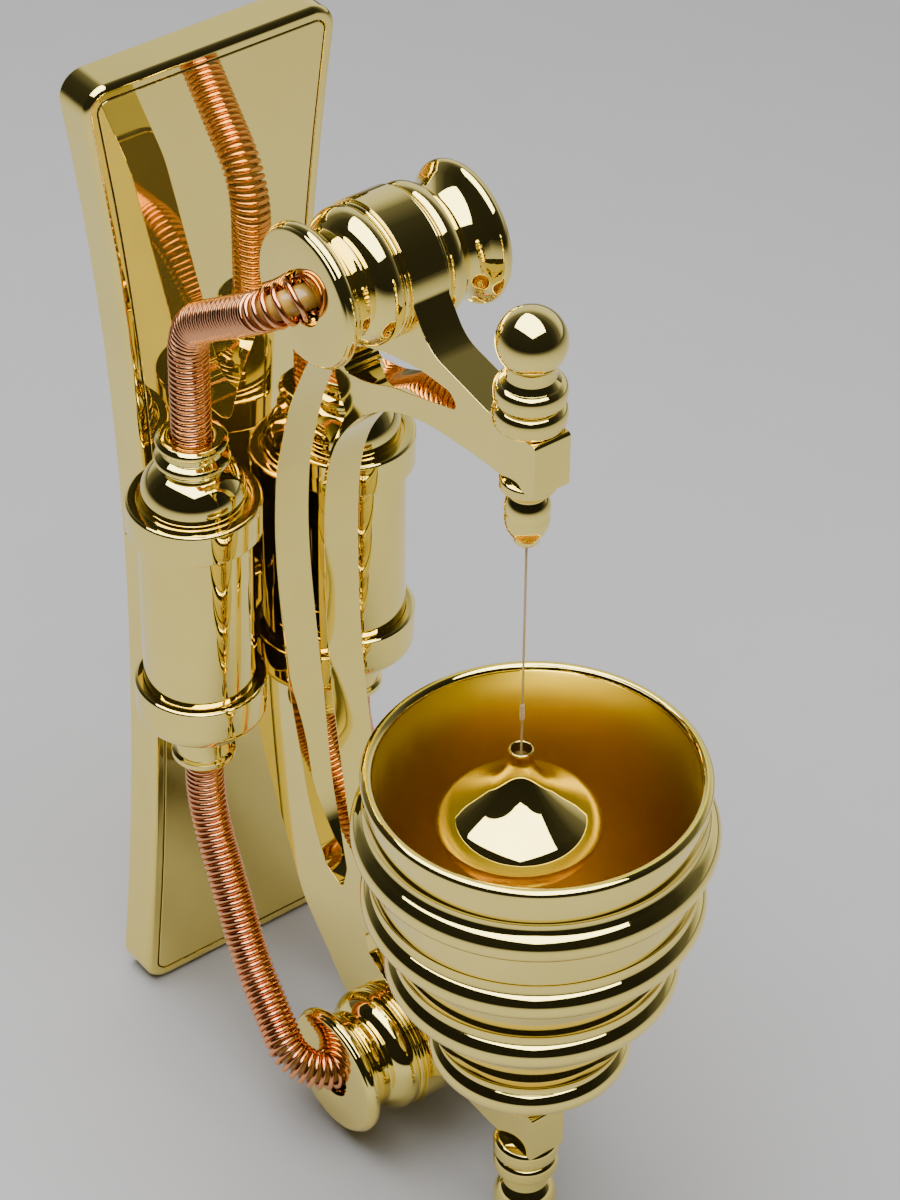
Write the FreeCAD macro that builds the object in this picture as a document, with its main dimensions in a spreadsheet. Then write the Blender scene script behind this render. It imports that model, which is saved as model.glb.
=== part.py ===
"""Brass drip fixture: a waisted back plate, a C-shaped arm, two cylinders, four sheathed hoses,
a drip nozzle with a valve knob, and a bob that hangs on a line inside a beaded cup.

Millimetres. X runs to the right, +Y runs back through the plate and Z is up. The fixture stands on
the lower edge of the plate and on the ball foot under the cup, at Z = 0.
"""
import FreeCAD, Part
import math
import os
import Sketcher

V = FreeCAD.Vector
doc = FreeCAD.newDocument("drip_fixture")
sheet = doc.addObject("Spreadsheet::Sheet", "dims")
pieces = []
row = [0]


class Size:
    """A number together with the sheet formula that gives it."""

    def __init__(self, value, text):
        self.value = float(value)
        self.text = text

    def __add__(self, other):
        other = size(other)
        return Size(self.value + other.value, "(%s + %s)" % (self.text, other.text))

    def __radd__(self, other):
        return size(other) + self

    def __sub__(self, other):
        other = size(other)
        return Size(self.value - other.value, "(%s - %s)" % (self.text, other.text))

    def __rsub__(self, other):
        return size(other) - self

    def __mul__(self, other):
        other = size(other)
        return Size(self.value * other.value, "(%s * %s)" % (self.text, other.text))

    def __rmul__(self, other):
        return size(other) * self

    def __neg__(self):
        return Size(-self.value, "(0 - %s)" % self.text)


def size(number):
    """Any plain number as a Size."""
    if isinstance(number, Size):
        return number
    return Size(number, "%.6g" % number if number >= 0 else "(0 - %.6g)" % -number)


def dim(alias, value, note):
    """One driving dimension: a cell of the sheet with an alias."""
    row[0] += 1
    sheet.set("A%d" % row[0], note)
    sheet.set("B%d" % row[0], "%.6g" % value)
    sheet.setAlias("B%d" % row[0], alias)
    return Size(value, "dims." + alias)


# Back plate, seen from the front: two shallow side curves that meet at the waist.
plate_h = dim("plate_height", 226.5, "back plate height")
plate_t = dim("plate_thickness", 9.0, "back plate thickness")
waist_w = dim("waist_half_width", 19.2, "half width at the waist")
waist_z = dim("waist_height", 105.0, "height of the waist")
top_w = dim("top_half_width", 28.9, "half width at the top corners")
low_w = dim("low_half_width", 25.0, "half width at the lower corners")
corner_r = dim("corner_radius", 5.0, "corner radius of the plate")
rim_w = dim("rim_width", 2.6, "rim left round the front panel")
panel_t = dim("panel_thickness", 1.5, "front panel thickness")
panel_gap = dim("panel_gap", 0.3, "shadow gap round the front panel")
edge_r = dim("edge_radius", 1.4, "rounding of the plate's front edge")

# Reaches in front of the plate's front face.
cup_reach = dim("cup_reach", 100.5, "cup axis in front of the plate")
nozzle_back = dim("nozzle_set_back", 4.9, "nozzle axis behind the cup axis")
nozzle_reach = cup_reach - nozzle_back
eye_up_reach = dim("eye_up_reach", 53.6, "upper eye in front of the plate")
eye_low_reach = dim("eye_low_reach", 59.3, "lower eye in front of the plate")
eye_up_z = dim("eye_up_height", 208.15, "height of the upper eye")
eye_low_z = dim("eye_low_height", 18.1, "height of the lower eye")
bead_r = dim("bead_one_radius", 35.0, "outside radius of the cup's first bead")

# The frame is centred between the back of the plate and the front of the cup.
front = (cup_reach + bead_r - plate_t) * 0.5


def reach(distance):
    """Y of a point that lies this far in front of the plate."""
    return front - distance


arm_t = dim("arm_thickness", 8.0, "thickness of the arm plate")
eye_r = dim("eye_radius", 13.6, "outside radius of an eye")
axle_r = dim("axle_radius", 5.0, "outside radius of a spool's hollow axle")
axle_bore = dim("axle_bore", 1.8, "bore radius of a hollow axle")
spool_half = dim("spool_half_length", 18.6, "end face of a spool from the middle")
fit = dim("fit", 0.05, "radial clearance of a plain fit")

cyl_x = dim("cylinder_offset", 18.42, "cylinder axis from the middle")
cyl_reach = dim("cylinder_reach", 16.1, "cylinder axis in front of the plate")
barrel_r = dim("barrel_radius", 11.4, "outside radius of a barrel")
barrel_wall = dim("barrel_wall", 1.4, "wall of a barrel")
barrel_low = dim("barrel_low", 93.0, "lower end of a barrel")
barrel_top = dim("barrel_top", 137.5, "upper end of a barrel")
collar_r = dim("collar_radius", 13.4, "outside radius of a cap's collar")

hose_r = dim("hose_radius", 2.55, "outside radius of the inner hose")
hose_bore = dim("hose_bore", 1.6, "bore radius of the inner hose")
wire_r = dim("wire_radius", 0.6, "radius of the copper wire")
coil_r = dim("coil_radius", 3.45, "mean radius of the copper coil")
bow_up = dim("bow_up", 24.2, "outward bow of the upper hoses")
bow_low = dim("bow_low", 25.6, "outward bow of the lower hoses")
coil_turns = dim("coil_turns", 18, "turns of wire on each hose")

block_up_z = dim("block_up_height", 186.4, "underside of the upper block")
block_h = dim("block_height", 11.4, "height of a block")
block_low_z = dim("block_low_height", 23.4, "underside of the lower block")
block_front = dim("block_front", 6.6, "block in front of its axis")
stem_r = dim("stem_radius", 2.0, "radius of the studs in a block")
ball_r = dim("ball_radius", 6.44, "ball radius of the finials")
flange_r = dim("flange_radius", 6.65, "flange radius of the finials")

line_r = dim("line_radius", 0.23, "radius of the line")
line_top = dim("line_top", 172.4, "upper end of the line, in the nozzle's mouth")
bob_mouth_z = dim("bob_mouth_height", 122.5, "height of the bob's mouth")
bob_r = dim("bob_radius", 16.1, "largest radius of the bob")

cup_rim_z = dim("cup_rim_height", 120.0, "height of the cup's lip")
cup_rim_r = bead_r - dim("lip_step", 2.0, "lip inside the first bead")
cup_wall = dim("cup_wall", 2.4, "wall of the cup")
bead_two = bead_r - dim("bead_two_step", 2.0, "second bead inside the first")
bead_three = bead_r - dim("bead_three_step", 6.4, "third bead inside the first")
bead_four = bead_r - dim("bead_four_step", 15.0, "fourth bead inside the first")
cup_foot_z = dim("cup_foot_height", 46.6, "underside of the cup")
doc.recompute()


def plane(body, role):
    """An origin plane of a body."""
    for feature in body.Origin.OriginFeatures:
        if feature.Role == role:
            return feature
    raise RuntimeError("no plane " + role)


def place(body, x, y, z, rotation=None):
    """Put a body at a point of the frame, bound to the sheet."""
    spot = [size(x), size(y), size(z)]
    base = V(spot[0].value, spot[1].value, spot[2].value)
    body.Placement = FreeCAD.Placement(base, rotation or FreeCAD.Rotation())
    for axis, number in zip("xyz", spot):
        body.setExpression(".Placement.Base." + axis, number.text)


def new_sketch(body, name, role):
    sketch = body.newObject("Sketcher::SketchObject", name)
    sketch.AttachmentSupport = (plane(body, role), [""])
    sketch.MapMode = "FlatFace"
    return sketch


def arc_through(start, end, bulge):
    """Middle of the arc from start to end, to the right by the bulge: its rise over half its chord."""
    mid = (start + end) * 0.5
    chord = end - start
    return mid + V(chord.y, -chord.x, 0) * (0.5 * bulge)


def profile(sketch, outline):
    """A closed outline of (u, v) or (u, v, bulge) corners; the bulge shapes the edge that ends there."""
    corners = [(size(c[0]), size(c[1]), c[2] if len(c) > 2 else 0.0) for c in outline]
    points = [V(c[0].value, c[1].value, 0) for c in corners]
    count = len(corners)
    shapes = []
    for i in range(count):
        start = points[i - 1]
        end = points[i]
        bulge = corners[i][2]
        if bulge:
            shapes.append(Part.Arc(start, arc_through(start, end, bulge), end))
        else:
            shapes.append(Part.LineSegment(start, end))
    sketch.addGeometry(shapes, False)
    # An arc of a sketch runs counter-clockwise, so its ends are found by position.
    ends = []
    for i in range(count):
        first = sketch.getPoint(i, 1)
        ends.append((1, 2) if first.distanceToPoint(points[i - 1]) < 1e-6 else (2, 1))
    rules = []
    bound = []
    for i in range(count):
        after = (i + 1) % count
        rules.append(Sketcher.Constraint("Coincident", i, ends[i][1], after, ends[after][0]))
    for i in range(count):
        for way, number in (("DistanceX", corners[i][0]), ("DistanceY", corners[i][1])):
            bound.append((len(rules), number))
            rules.append(Sketcher.Constraint(way, -1, 1, i, ends[i][1], number.value))
    for i in range(count):
        bulge = corners[i][2]
        if bulge:
            du = corners[i][0] - corners[i - 1][0]
            dv = corners[i][1] - corners[i - 1][1]
            factor = (1.0 + bulge * bulge) / (4.0 * abs(bulge))
            chord = math.hypot(du.value, dv.value)
            text = "sqrt(%s^2 + %s^2) * %.9g" % (du.text, dv.text, factor)
            bound.append((len(rules), Size(chord * factor, text)))
            rules.append(Sketcher.Constraint("Radius", i, chord * factor))
    sketch.addConstraint(rules)
    for index, number in bound:
        if "dims." in number.text:
            sketch.setExpression("Constraints[%d]" % index, number.text)


def turned(label, outline, x, y, z, rotation=None):
    """A turned piece: a half section of (radius, height) corners, revolved about its own axis."""
    body = doc.addObject("PartDesign::Body", label)
    body.Label = label
    sketch = new_sketch(body, label + "_section", "XZ_Plane")
    profile(sketch, outline)
    turn = body.newObject("PartDesign::Revolution", label + "_turn")
    turn.Profile = sketch
    turn.ReferenceAxis = (sketch, ["V_Axis"])
    turn.Angle = 360.0
    place(body, x, y, z, rotation)
    pieces.append(body)
    return body


def rounded(corners):
    """Lines and tangent arcs round a ring of (u, v) or (u, v, radius) corners.

    With no radius given, an arc takes up most of its two runs, which makes one smooth curve.
    """
    ring = [V(c[0], c[1], 0) for c in corners]
    count = len(ring)
    cuts = []
    for i in range(count):
        here = ring[i]
        back = ring[i - 1] - here
        ahead = ring[(i + 1) % count] - here
        turn = math.pi - back.getAngle(ahead)
        longest = 0.49 * min(back.Length, ahead.Length)
        reach_along = longest
        if len(corners[i]) > 2:
            reach_along = min(longest, corners[i][2] * math.tan(turn * 0.5))
        first = here + back.normalize() * reach_along
        last = here + ahead.normalize() * reach_along
        inward = (first + last) * 0.5 - here
        radius = reach_along / math.tan(turn * 0.5)
        sagitta = math.hypot(radius, reach_along) - radius
        middle = here + inward.normalize() * sagitta
        cuts.append((first, middle, last))
    shapes = []
    for i in range(count):
        first, middle, last = cuts[i]
        shapes.append(Part.Arc(first, middle, last))
        shapes.append(Part.LineSegment(last, cuts[(i + 1) % count][0]))
    return shapes


def free_sketch(body, name, role, rings):
    """A sketch of ready-made curves, held where they are."""
    sketch = new_sketch(body, name, role)
    total = 0
    for shapes in rings:
        sketch.addGeometry(shapes, False)
        total += len(shapes)
    sketch.addConstraint([Sketcher.Constraint("Block", i) for i in range(total)])
    return sketch


def pad(body, name, sketch, length, middle=False, flip=False):
    feature = body.newObject("PartDesign::Pad", name)
    feature.Profile = sketch
    feature.Length = length.value
    feature.setExpression("Length", length.text)
    feature.Midplane = middle
    feature.Reversed = flip
    return feature


def pocket(body, name, sketch, length, middle=False, flip=False):
    feature = body.newObject("PartDesign::Pocket", name)
    feature.Profile = sketch
    feature.Length = length.value
    feature.setExpression("Length", length.text)
    feature.Midplane = middle
    feature.Reversed = flip
    return feature


def circles(body, name, role, rings):
    """A sketch of circles: (u, v, radius), each bound to the sheet."""
    sketch = new_sketch(body, name, role)
    rules = []
    bound = []
    for i, ring in enumerate(rings):
        u, v, radius = (size(number) for number in ring)
        sketch.addGeometry(Part.Circle(V(u.value, v.value, 0), V(0, 0, 1), radius.value), False)
        for way, number in (("DistanceX", u), ("DistanceY", v)):
            bound.append((len(rules), number))
            rules.append(Sketcher.Constraint(way, -1, 1, i, 3, number.value))
        bound.append((len(rules), radius))
        rules.append(Sketcher.Constraint("Radius", i, radius.value))
    sketch.addConstraint(rules)
    for index, number in bound:
        if "dims." in number.text:
            sketch.setExpression("Constraints[%d]" % index, number.text)
    return sketch


def curve_radius(rise, run):
    """Radius of a side curve that is upright at the waist and leans out by rise over run."""
    return (rise * rise + run * run) / (2.0 * rise)


def side_x(height, inset):
    """Half width of the plate at a height, less an inset."""
    away = height - waist_z.value
    if away > 0:
        radius = curve_radius(top_w.value - waist_w.value, plate_h.value - waist_z.value)
    else:
        radius = curve_radius(low_w.value - waist_w.value, waist_z.value)
    return waist_w.value + radius - math.sqrt(radius * radius - away * away) - inset


def plate_ring(inset, radius):
    """The plate's outline drawn in by an inset: waisted sides and rounded corners."""
    low = inset
    top = plate_h.value - inset
    levels = [low + (top - low) * i / 8.0 for i in range(9)]
    right = [(side_x(level, inset), level) for level in levels]
    right[0] = right[0] + (radius,)
    right[-1] = right[-1] + (radius,)
    left = [(-corner[0],) + corner[1:] for corner in reversed(right)]
    return rounded(right + left)


# Back plate with a shallow recess for the panel and two screw holes behind the arm's foot.
plate = doc.addObject("PartDesign::Body", "backplate")
plate.Label = "backplate"
pieces.append(plate)
sketch = new_sketch(plate, "backplate_outline", "XZ_Plane")
up_bulge = -math.tan(math.atan2(top_w.value - waist_w.value, plate_h.value - waist_z.value) * 0.5)
low_bulge = -math.tan(math.atan2(low_w.value - waist_w.value, waist_z.value) * 0.5)
profile(sketch, [(-low_w, 0, low_bulge), (low_w, 0), (waist_w, waist_z, low_bulge),
                 (top_w, plate_h, up_bulge), (-top_w, plate_h), (-waist_w, waist_z, up_bulge)])
pad(plate, "backplate_slab", sketch, plate_t, flip=True)
doc.recompute()


def edges_of(body, wanted):
    """Names of the edges of a body's shape that a test picks by their box."""
    return ["Edge%d" % (i + 1) for i, edge in enumerate(body.Shape.Edges) if wanted(edge.BoundBox)]


def fillet(body, name, names, radius):
    """Round the named edges of a body's last feature."""
    base = body.Tip
    feature = body.newObject("PartDesign::Fillet", name)
    feature.Base = (base, names)
    feature.Radius = radius.value
    feature.setExpression("Radius", radius.text)
    doc.recompute()


upright = edges_of(plate, lambda box: box.YLength > 1.0 and abs(box.Center.x) > waist_w.value + 1.0)
fillet(plate, "backplate_corners", upright, corner_r)
front_edges = edges_of(plate, lambda box: abs(box.YMin) < 1e-6 and abs(box.YMax) < 1e-6)
fillet(plate, "backplate_rounding", front_edges, edge_r)
inner_radius = max(1.0, corner_r.value - rim_w.value)
recess_ring = plate_ring(rim_w.value, inner_radius)
recess = free_sketch(plate, "backplate_recess_outline", "XZ_Plane", [recess_ring])
pocket(plate, "backplate_recess", recess, panel_t, flip=False)
screw_up_z = dim("screw_up_height", 131.0, "upper screw of the arm's foot")
screw_low_z = dim("screw_low_height", 108.0, "lower screw of the arm's foot")
screw_r = dim("screw_radius", 2.0, "radius of the foot screws")
head_r = dim("screw_head_radius", 3.6, "head radius of the foot screws")
head_t = dim("screw_head_depth", 3.2, "head depth of the foot screws")
hex_r = dim("hex_radius", 1.45, "corner radius of the screws' hexagon sockets")
hex_d = dim("hex_depth", 1.9, "depth of the screws' hexagon sockets")
doc.recompute()
through = [(0, screw_up_z, screw_r + fit), (0, screw_low_z, screw_r + fit)]
pocket(plate, "backplate_holes", circles(plate, "backplate_hole_rings", "XZ_Plane", through),
       plate_t, flip=False)
heads = [(0, screw_up_z, head_r + fit), (0, screw_low_z, head_r + fit)]
sketch = circles(plate, "backplate_head_rings", "XZ_Plane", heads)
sketch.AttachmentOffset = FreeCAD.Placement(V(0, 0, -plate_t.value), FreeCAD.Rotation())
sketch.setExpression(".AttachmentOffset.Base.z", (-plate_t).text)
pocket(plate, "backplate_heads", sketch, head_t, flip=True)
place(plate, 0, reach(0), 0)

# Front panel, flush in the recess, with the same two holes.
panel = doc.addObject("PartDesign::Body", "front_panel")
panel.Label = "front_panel"
pieces.append(panel)
inset = rim_w.value + panel_gap.value
panel_ring = plate_ring(inset, max(0.8, inner_radius - panel_gap.value))
pad(panel, "front_panel_sheet", free_sketch(panel, "front_panel_outline", "XZ_Plane", [panel_ring]),
    panel_t, flip=True)
pocket(panel, "front_panel_holes", circles(panel, "front_panel_rings", "XZ_Plane", through),
       panel_t, flip=False)
place(panel, 0, reach(0), 0)

# The arm: one thick plate in the middle plane. Its outline is drawn as reach and height.
EYE_UP = (eye_up_reach.value, eye_up_z.value)
EYE_LOW = (eye_low_reach.value, eye_low_z.value)
up_front = nozzle_reach.value + block_front.value
up_low = block_up_z.value
up_top = up_low + block_h.value
low_front = cup_reach.value + block_front.value
low_low = block_low_z.value
low_top = low_low + block_h.value


def from_up(offsets):
    """Points given from the upper eye."""
    return [(EYE_UP[0] + p[0], EYE_UP[1] + p[1]) + tuple(p[2:]) for p in offsets]


def from_low(offsets):
    """Points given from the lower eye, mirrored upwards."""
    return [(EYE_LOW[0] + p[0], EYE_LOW[1] - p[1]) + tuple(p[2:]) for p in offsets]


foot_top = screw_up_z.value + 15.6
foot_low = screw_low_z.value - 14.4
arm_back = (foot_low + foot_top) * 0.5
bar_up = [(up_front, up_low, 0.7), (up_front, up_top, 0.7), (up_front - 13.4, up_top, 2.0)]
shoulder = [(18.6, -7.3, 8.0), (12.0, 1.5, 1.0), (0.0, 7.0, 1.0), (-12.6, -1.0, 1.0)]
rear_up = [(-20.6, -9.9, 30.0), (-29.6, -19.6, 14.0), (-41.6, -47.0, 40.0)]
foot = [(7.6, foot_top, 6.0), (0.0, foot_top, 0.5), (0.0, foot_low, 0.5), (7.6, foot_low, 6.0)]
rear_low = list(reversed(rear_up))
under = [(-12.6, -1.0, 1.0), (0.0, 7.0, 1.0), (12.0, 1.5, 1.0), (18.4, -6.2, 8.0)]
bar_low = [(low_front - 13.4, low_low, 2.0), (low_front, low_low, 0.7),
           (low_front, low_top, 0.7), (low_front - 13.4, low_top, 6.0)]
arch_low = [(21.0, -19.5), (10.0, -25.6), (1.3, -30.0), (-7.3, -39.3), (-12.4, -49.2)]
leg = [(41.1, arm_back - 20.6), (39.5, arm_back - 5.0), (39.0, arm_back + 10.0),
       (39.1, arm_back + 24.0)]
arch_up = [(-13.4, -53.4), (-10.4, -44.4), (-3.3, -34.4), (5.9, -27.3), (16.5, -23.4),
           (29.5, -22.1)]
bracket = bar_up + from_up(shoulder + rear_up) + foot + from_low(rear_low + under) + bar_low
bracket = bracket + from_low(arch_low) + leg + from_up(arch_up) + [(up_front - 13.4, up_low, 4.0)]

# The long opening between the legs and a teardrop beside each eye.
loop = from_up([(-14.1, -22.6, 1.6), (-10.6, -28.5, 3.0), (-9.2, -32.6, 2.0), (-7.2, -35.9, 1.0),
                (-12.5, -47.6), (-15.3, -58.6)])
loop = loop + [(37.1, arm_back + 24.0), (36.8, arm_back + 8.0), (36.9, arm_back - 7.0),
               (38.0, arm_back - 21.0)]
loop = loop + from_low([(-18.9, -59.5), (-16.2, -48.6), (-14.0, -38.6, 3.0), (-15.6, -31.8, 1.5),
                        (-21.2, -34.4, 5.0), (-26.6, -45.4), (-29.4, -58.0), (-32.6, -70.0)])
loop = loop + [(23.0, arm_back - 3.0), (22.3, arm_back + 10.0), (23.3, arm_back + 24.0)]
loop = loop + from_up([(-28.7, -57.8), (-25.9, -46.4), (-19.3, -31.4)])
tear = [(26.9, -15.1, 1.6), (24.4, -12.5, 2.0), (16.4, -12.6), (6.9, -14.3), (-2.4, -17.8),
        (-6.6, -20.6, 1.2), (-8.3, -26.6, 1.4), (-0.2, -25.0), (6.0, -21.8), (16.4, -18.6)]

arm = doc.addObject("PartDesign::Body", "arm")
arm.Label = "arm"
pieces.append(arm)


def drawn(points):
    """On the side plane the first axis runs back through the plate, so a reach is its negative."""
    return [(-p[0], p[1]) + tuple(p[2:]) for p in points]


sketch = free_sketch(arm, "arm_bracket_outline", "YZ_Plane", [rounded(drawn(bracket))])
pad(arm, "arm_bracket", sketch, arm_t, middle=True)
eyes = [(-eye_up_reach, eye_up_z, eye_r), (-eye_low_reach, eye_low_z, eye_r)]
pad(arm, "arm_eyes", circles(arm, "arm_eye_rings", "YZ_Plane", eyes), arm_t, middle=True)
holes = [rounded(drawn(loop)), rounded(drawn(from_up(tear))), rounded(drawn(from_low(tear)))]
sketch = free_sketch(arm, "arm_openings_outline", "YZ_Plane", holes)
pocket(arm, "arm_openings", sketch, arm_t + 2.0, middle=True)
bores = [(-eye_up_reach, eye_up_z, axle_r + fit), (-eye_low_reach, eye_low_z, axle_r + fit)]
sketch = circles(arm, "arm_bore_rings", "YZ_Plane", bores)
pocket(arm, "arm_bores", sketch, arm_t + 2.0, middle=True)
sketch = circles(arm, "arm_valve_ring", "XY_Plane", [(0, -nozzle_reach, stem_r + fit)])
sketch.AttachmentOffset = FreeCAD.Placement(V(0, 0, up_top + 1.0), FreeCAD.Rotation())
sketch.setExpression(".AttachmentOffset.Base.z", (block_up_z + block_h + 1.0).text)
pocket(arm, "arm_valve_bore", sketch, block_h + 2.0)
sketch = circles(arm, "arm_stem_ring", "XY_Plane", [(0, -cup_reach, stem_r + fit)])
sketch.AttachmentOffset = FreeCAD.Placement(V(0, 0, low_top + 1.0), FreeCAD.Rotation())
sketch.setExpression(".AttachmentOffset.Base.z", (block_low_z + block_h + 1.0).text)
pocket(arm, "arm_stem_bore", sketch, block_h + 2.0)
sketch = circles(arm, "arm_screw_rings", "XZ_Plane",
                 [(0, screw_up_z, screw_r + fit), (0, screw_low_z, screw_r + fit)])
thread_depth = dim("screw_reach", 9.0, "reach of the foot screws into the arm")
doc.recompute()
pocket(arm, "arm_screw_bores", sketch, thread_depth + 0.5, flip=True)
place(arm, 0, reach(0), 0)

# Foot screws, from behind through the plate and the panel.
back_turn = FreeCAD.Rotation(V(1, 0, 0), 90)
for name, height in (("arm_screw_upper", screw_up_z), ("arm_screw_lower", screw_low_z)):
    shank = plate_t + thread_depth
    screw = turned(name, [(0, 0), (head_r, 0), (head_r, head_t), (screw_r, head_t), (screw_r, shank),
                          (0, shank)], 0, reach(-plate_t), height, back_turn)
    turns = [math.radians(60 * i) for i in range(6)]
    hexagon = [V(hex_r.value * math.cos(turn), hex_r.value * math.sin(turn), 0) for turn in turns]
    socket = [Part.LineSegment(hexagon[i - 1], hexagon[i]) for i in range(6)]
    pocket(screw, name + "_socket", free_sketch(screw, name + "_hexagon", "XY_Plane", [socket]), hex_d,
           flip=True)

sides = (("left", -1), ("right", 1))
lay = {"left": FreeCAD.Rotation(V(0, 1, 0), -90), "right": FreeCAD.Rotation(V(0, 1, 0), 90)}

# Spools: on each side of an eye a turned half with a disc, a neck and a bulge, on a hollow axle.
socket_r = coil_r + wire_r + 1.2
seat_r = coil_r + wire_r + 0.15
socket_d = dim("socket_depth", 3.6, "depth of the hose socket in a disc")
doc.recompute()
half = spool_half - arm_t * 0.5
spool_section = [
    (axle_r + fit, 0), (eye_r - 0.7, 0), (eye_r - 0.7, 0.9, 0.4), (eye_r - 1.3, 1.2),
    (eye_r - 0.4, 1.6), (eye_r - 0.4, 4.2, 0.25), (eye_r - 2.6, 6.1, 0.25), (eye_r - 3.3, 7.0),
    (eye_r - 1.9, half - 5.0, -0.15), (eye_r - 0.9, half - 3.6, -0.1), (eye_r - 0.7, half - 3.3),
    (eye_r - 0.1, half - 2.7), (eye_r - 0.2, half - 0.6, 0.45), (eye_r - 0.9, half, 0.3),
    (socket_r, half), (socket_r, half - socket_d), (axle_r + fit, half - socket_d)]
for level, at, up in (("upper", eye_up_reach, eye_up_z), ("lower", eye_low_reach, eye_low_z)):
    for side, sign in sides:
        turned("%s_spool_%s" % (level, side), spool_section, sign * arm_t * 0.5, reach(at), up, lay[side])
    inner = spool_half - socket_d
    turned(level + "_axle", [(axle_bore, -inner), (axle_r, -inner), (axle_r, inner), (axle_bore, inner)],
           0, reach(at), up, lay["right"])

# Cylinders: a barrel with two caps, two glands for the hoses and a saddle on the plate.
neck_top = dim("neck_top", 155.6, "top of the upper gland")
spout_low = dim("spout_low", 75.4, "lower end of the spout gland")
mouth_d = dim("gland_mouth_depth", 2.0, "depth of the wire's seat in a gland's mouth")
saddle_w = dim("saddle_width", 12.0, "width of a barrel's saddle")
saddle_d = dim("saddle_reach", 8.0, "reach of a saddle in front of the plate")
saddle_h = dim("saddle_height", 18.0, "height of a saddle")
doc.recompute()
dome_z = barrel_top + 4.6
cap_in = barrel_r + fit
gland_r = hose_r + 0.1
saddle_z = (barrel_low + barrel_top - saddle_h) * 0.5
for side, sign in sides:
    spot = (sign * cyl_x, reach(cyl_reach), 0)
    bore = barrel_r - barrel_wall
    turned("barrel_" + side, [(bore, barrel_low), (barrel_r, barrel_low), (barrel_r, barrel_top),
                              (bore, barrel_top)], *spot)
    turned("top_cap_" + side, [
        (cap_in, barrel_top - 4.0), (collar_r - 0.5, barrel_top - 4.0),
        (collar_r, barrel_top - 3.5, 0.4), (collar_r, barrel_top + 2.7),
        (collar_r - 0.6, barrel_top + 3.3, 0.4), (collar_r - 2.2, barrel_top + 3.3),
        (collar_r - 2.6, barrel_top + 2.6), (collar_r - 3.0, barrel_top + 2.6), (collar_r - 3.0, dome_z),
        (6.3, dome_z + 6.6, 0.3), (6.3, dome_z + 7.6), (4.6, dome_z + 7.6),
        (4.6, barrel_top + 1.5), (bore, barrel_top), (cap_in, barrel_top)], *spot)
    turned("top_gland_" + side, [
        (gland_r, dome_z + 7.6), (7.0, dome_z + 7.6), (7.0, dome_z + 9.4, 0.5), (6.0, dome_z + 10.0),
        (6.0, neck_top - 2.0), (6.75, neck_top - 1.8), (6.75, neck_top - 0.4, 0.5), (6.3, neck_top),
        (seat_r, neck_top), (seat_r, neck_top - mouth_d), (gland_r, neck_top - mouth_d)], *spot)
    turned("bottom_cap_" + side, [
        (cap_in, barrel_low), (cap_in, barrel_low + 3.3), (collar_r - 1.0, barrel_low + 3.3),
        (collar_r - 0.2, barrel_low + 2.9, -0.3), (collar_r - 0.2, barrel_low - 3.6),
        (collar_r - 3.3, barrel_low - 7.2, -0.35), (6.6, barrel_low - 9.0), (6.0, barrel_low - 10.6),
        (4.6, barrel_low - 10.6), (4.6, barrel_low - 2.0), (bore, barrel_low)], *spot)
    turned("spout_gland_" + side, [
        (gland_r, spout_low + mouth_d), (seat_r, spout_low + mouth_d), (seat_r, spout_low),
        (5.9, spout_low), (6.5, spout_low + 0.5, 0.4), (6.5, spout_low + 1.5),
        (5.7, spout_low + 1.9), (5.7, barrel_low - 11.4), (6.2, barrel_low - 10.9, 0.4),
        (6.0, barrel_low - 10.6), (gland_r, barrel_low - 10.6)], *spot)
    block = doc.addObject("Part::Box", "saddle_block_" + side)
    cut = doc.addObject("Part::Cylinder", "saddle_hollow_" + side)
    saddle = doc.addObject("Part::Cut", "saddle_" + side)
    block.setExpression("Length", saddle_w.text)
    block.setExpression("Width", saddle_d.text)
    block.setExpression("Height", saddle_h.text)
    corner = (sign * cyl_x - saddle_w * 0.5, reach(saddle_d), saddle_z)
    cut.setExpression("Radius", (barrel_r + fit).text)
    cut.setExpression("Height", (saddle_h + 2.0).text)
    place(block, *corner)
    place(cut, spot[0], spot[1], saddle_z - 1.0)
    saddle.Base = block
    saddle.Tool = cut
    saddle.Label = "saddle_" + side
    pieces.append(saddle)

# Valve above the nozzle: a collar on the block, and a knob whose stem turns in the block.
turned("valve_collar", [
    (stem_r + fit, 0), (5.6, 0), (flange_r, 1.6, 0.4), (flange_r, 3.4, 0.1), (5.4, 4.7, 0.3),
    (stem_r + fit, 4.7)], 0, reach(nozzle_reach), block_up_z + block_h)
knob_z = dim("knob_base", 0.15, "gap under the knob")
stem_l = dim("knob_stem", 13.0, "length of the knob's stem")
neck_r = dim("knob_neck", 4.6, "neck radius under the ball")
ball_c = dim("ball_centre", 12.55, "ball centre above the knob's underside")
doc.recompute()
dip = math.sqrt(ball_r.value ** 2 - neck_r.value ** 2)
lower_ball = math.tan(math.acos(neck_r.value / ball_r.value) / 4.0)
quarter = math.tan(math.pi / 8.0)
knob = [
    (0, -stem_l), (stem_r, -stem_l), (stem_r, 0), (5.4, 0), (flange_r - 0.1, 1.5, 0.4),
    (flange_r - 0.1, 3.2, 0.1), (5.4, 4.4, 0.3), (neck_r, 5.6), (neck_r, ball_c - dip),
    (ball_r, ball_c, lower_ball), (0, ball_c + ball_r, quarter)]
turned("valve_knob", knob, 0, reach(nozzle_reach), block_up_z + block_h + 4.7 + knob_z)

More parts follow.
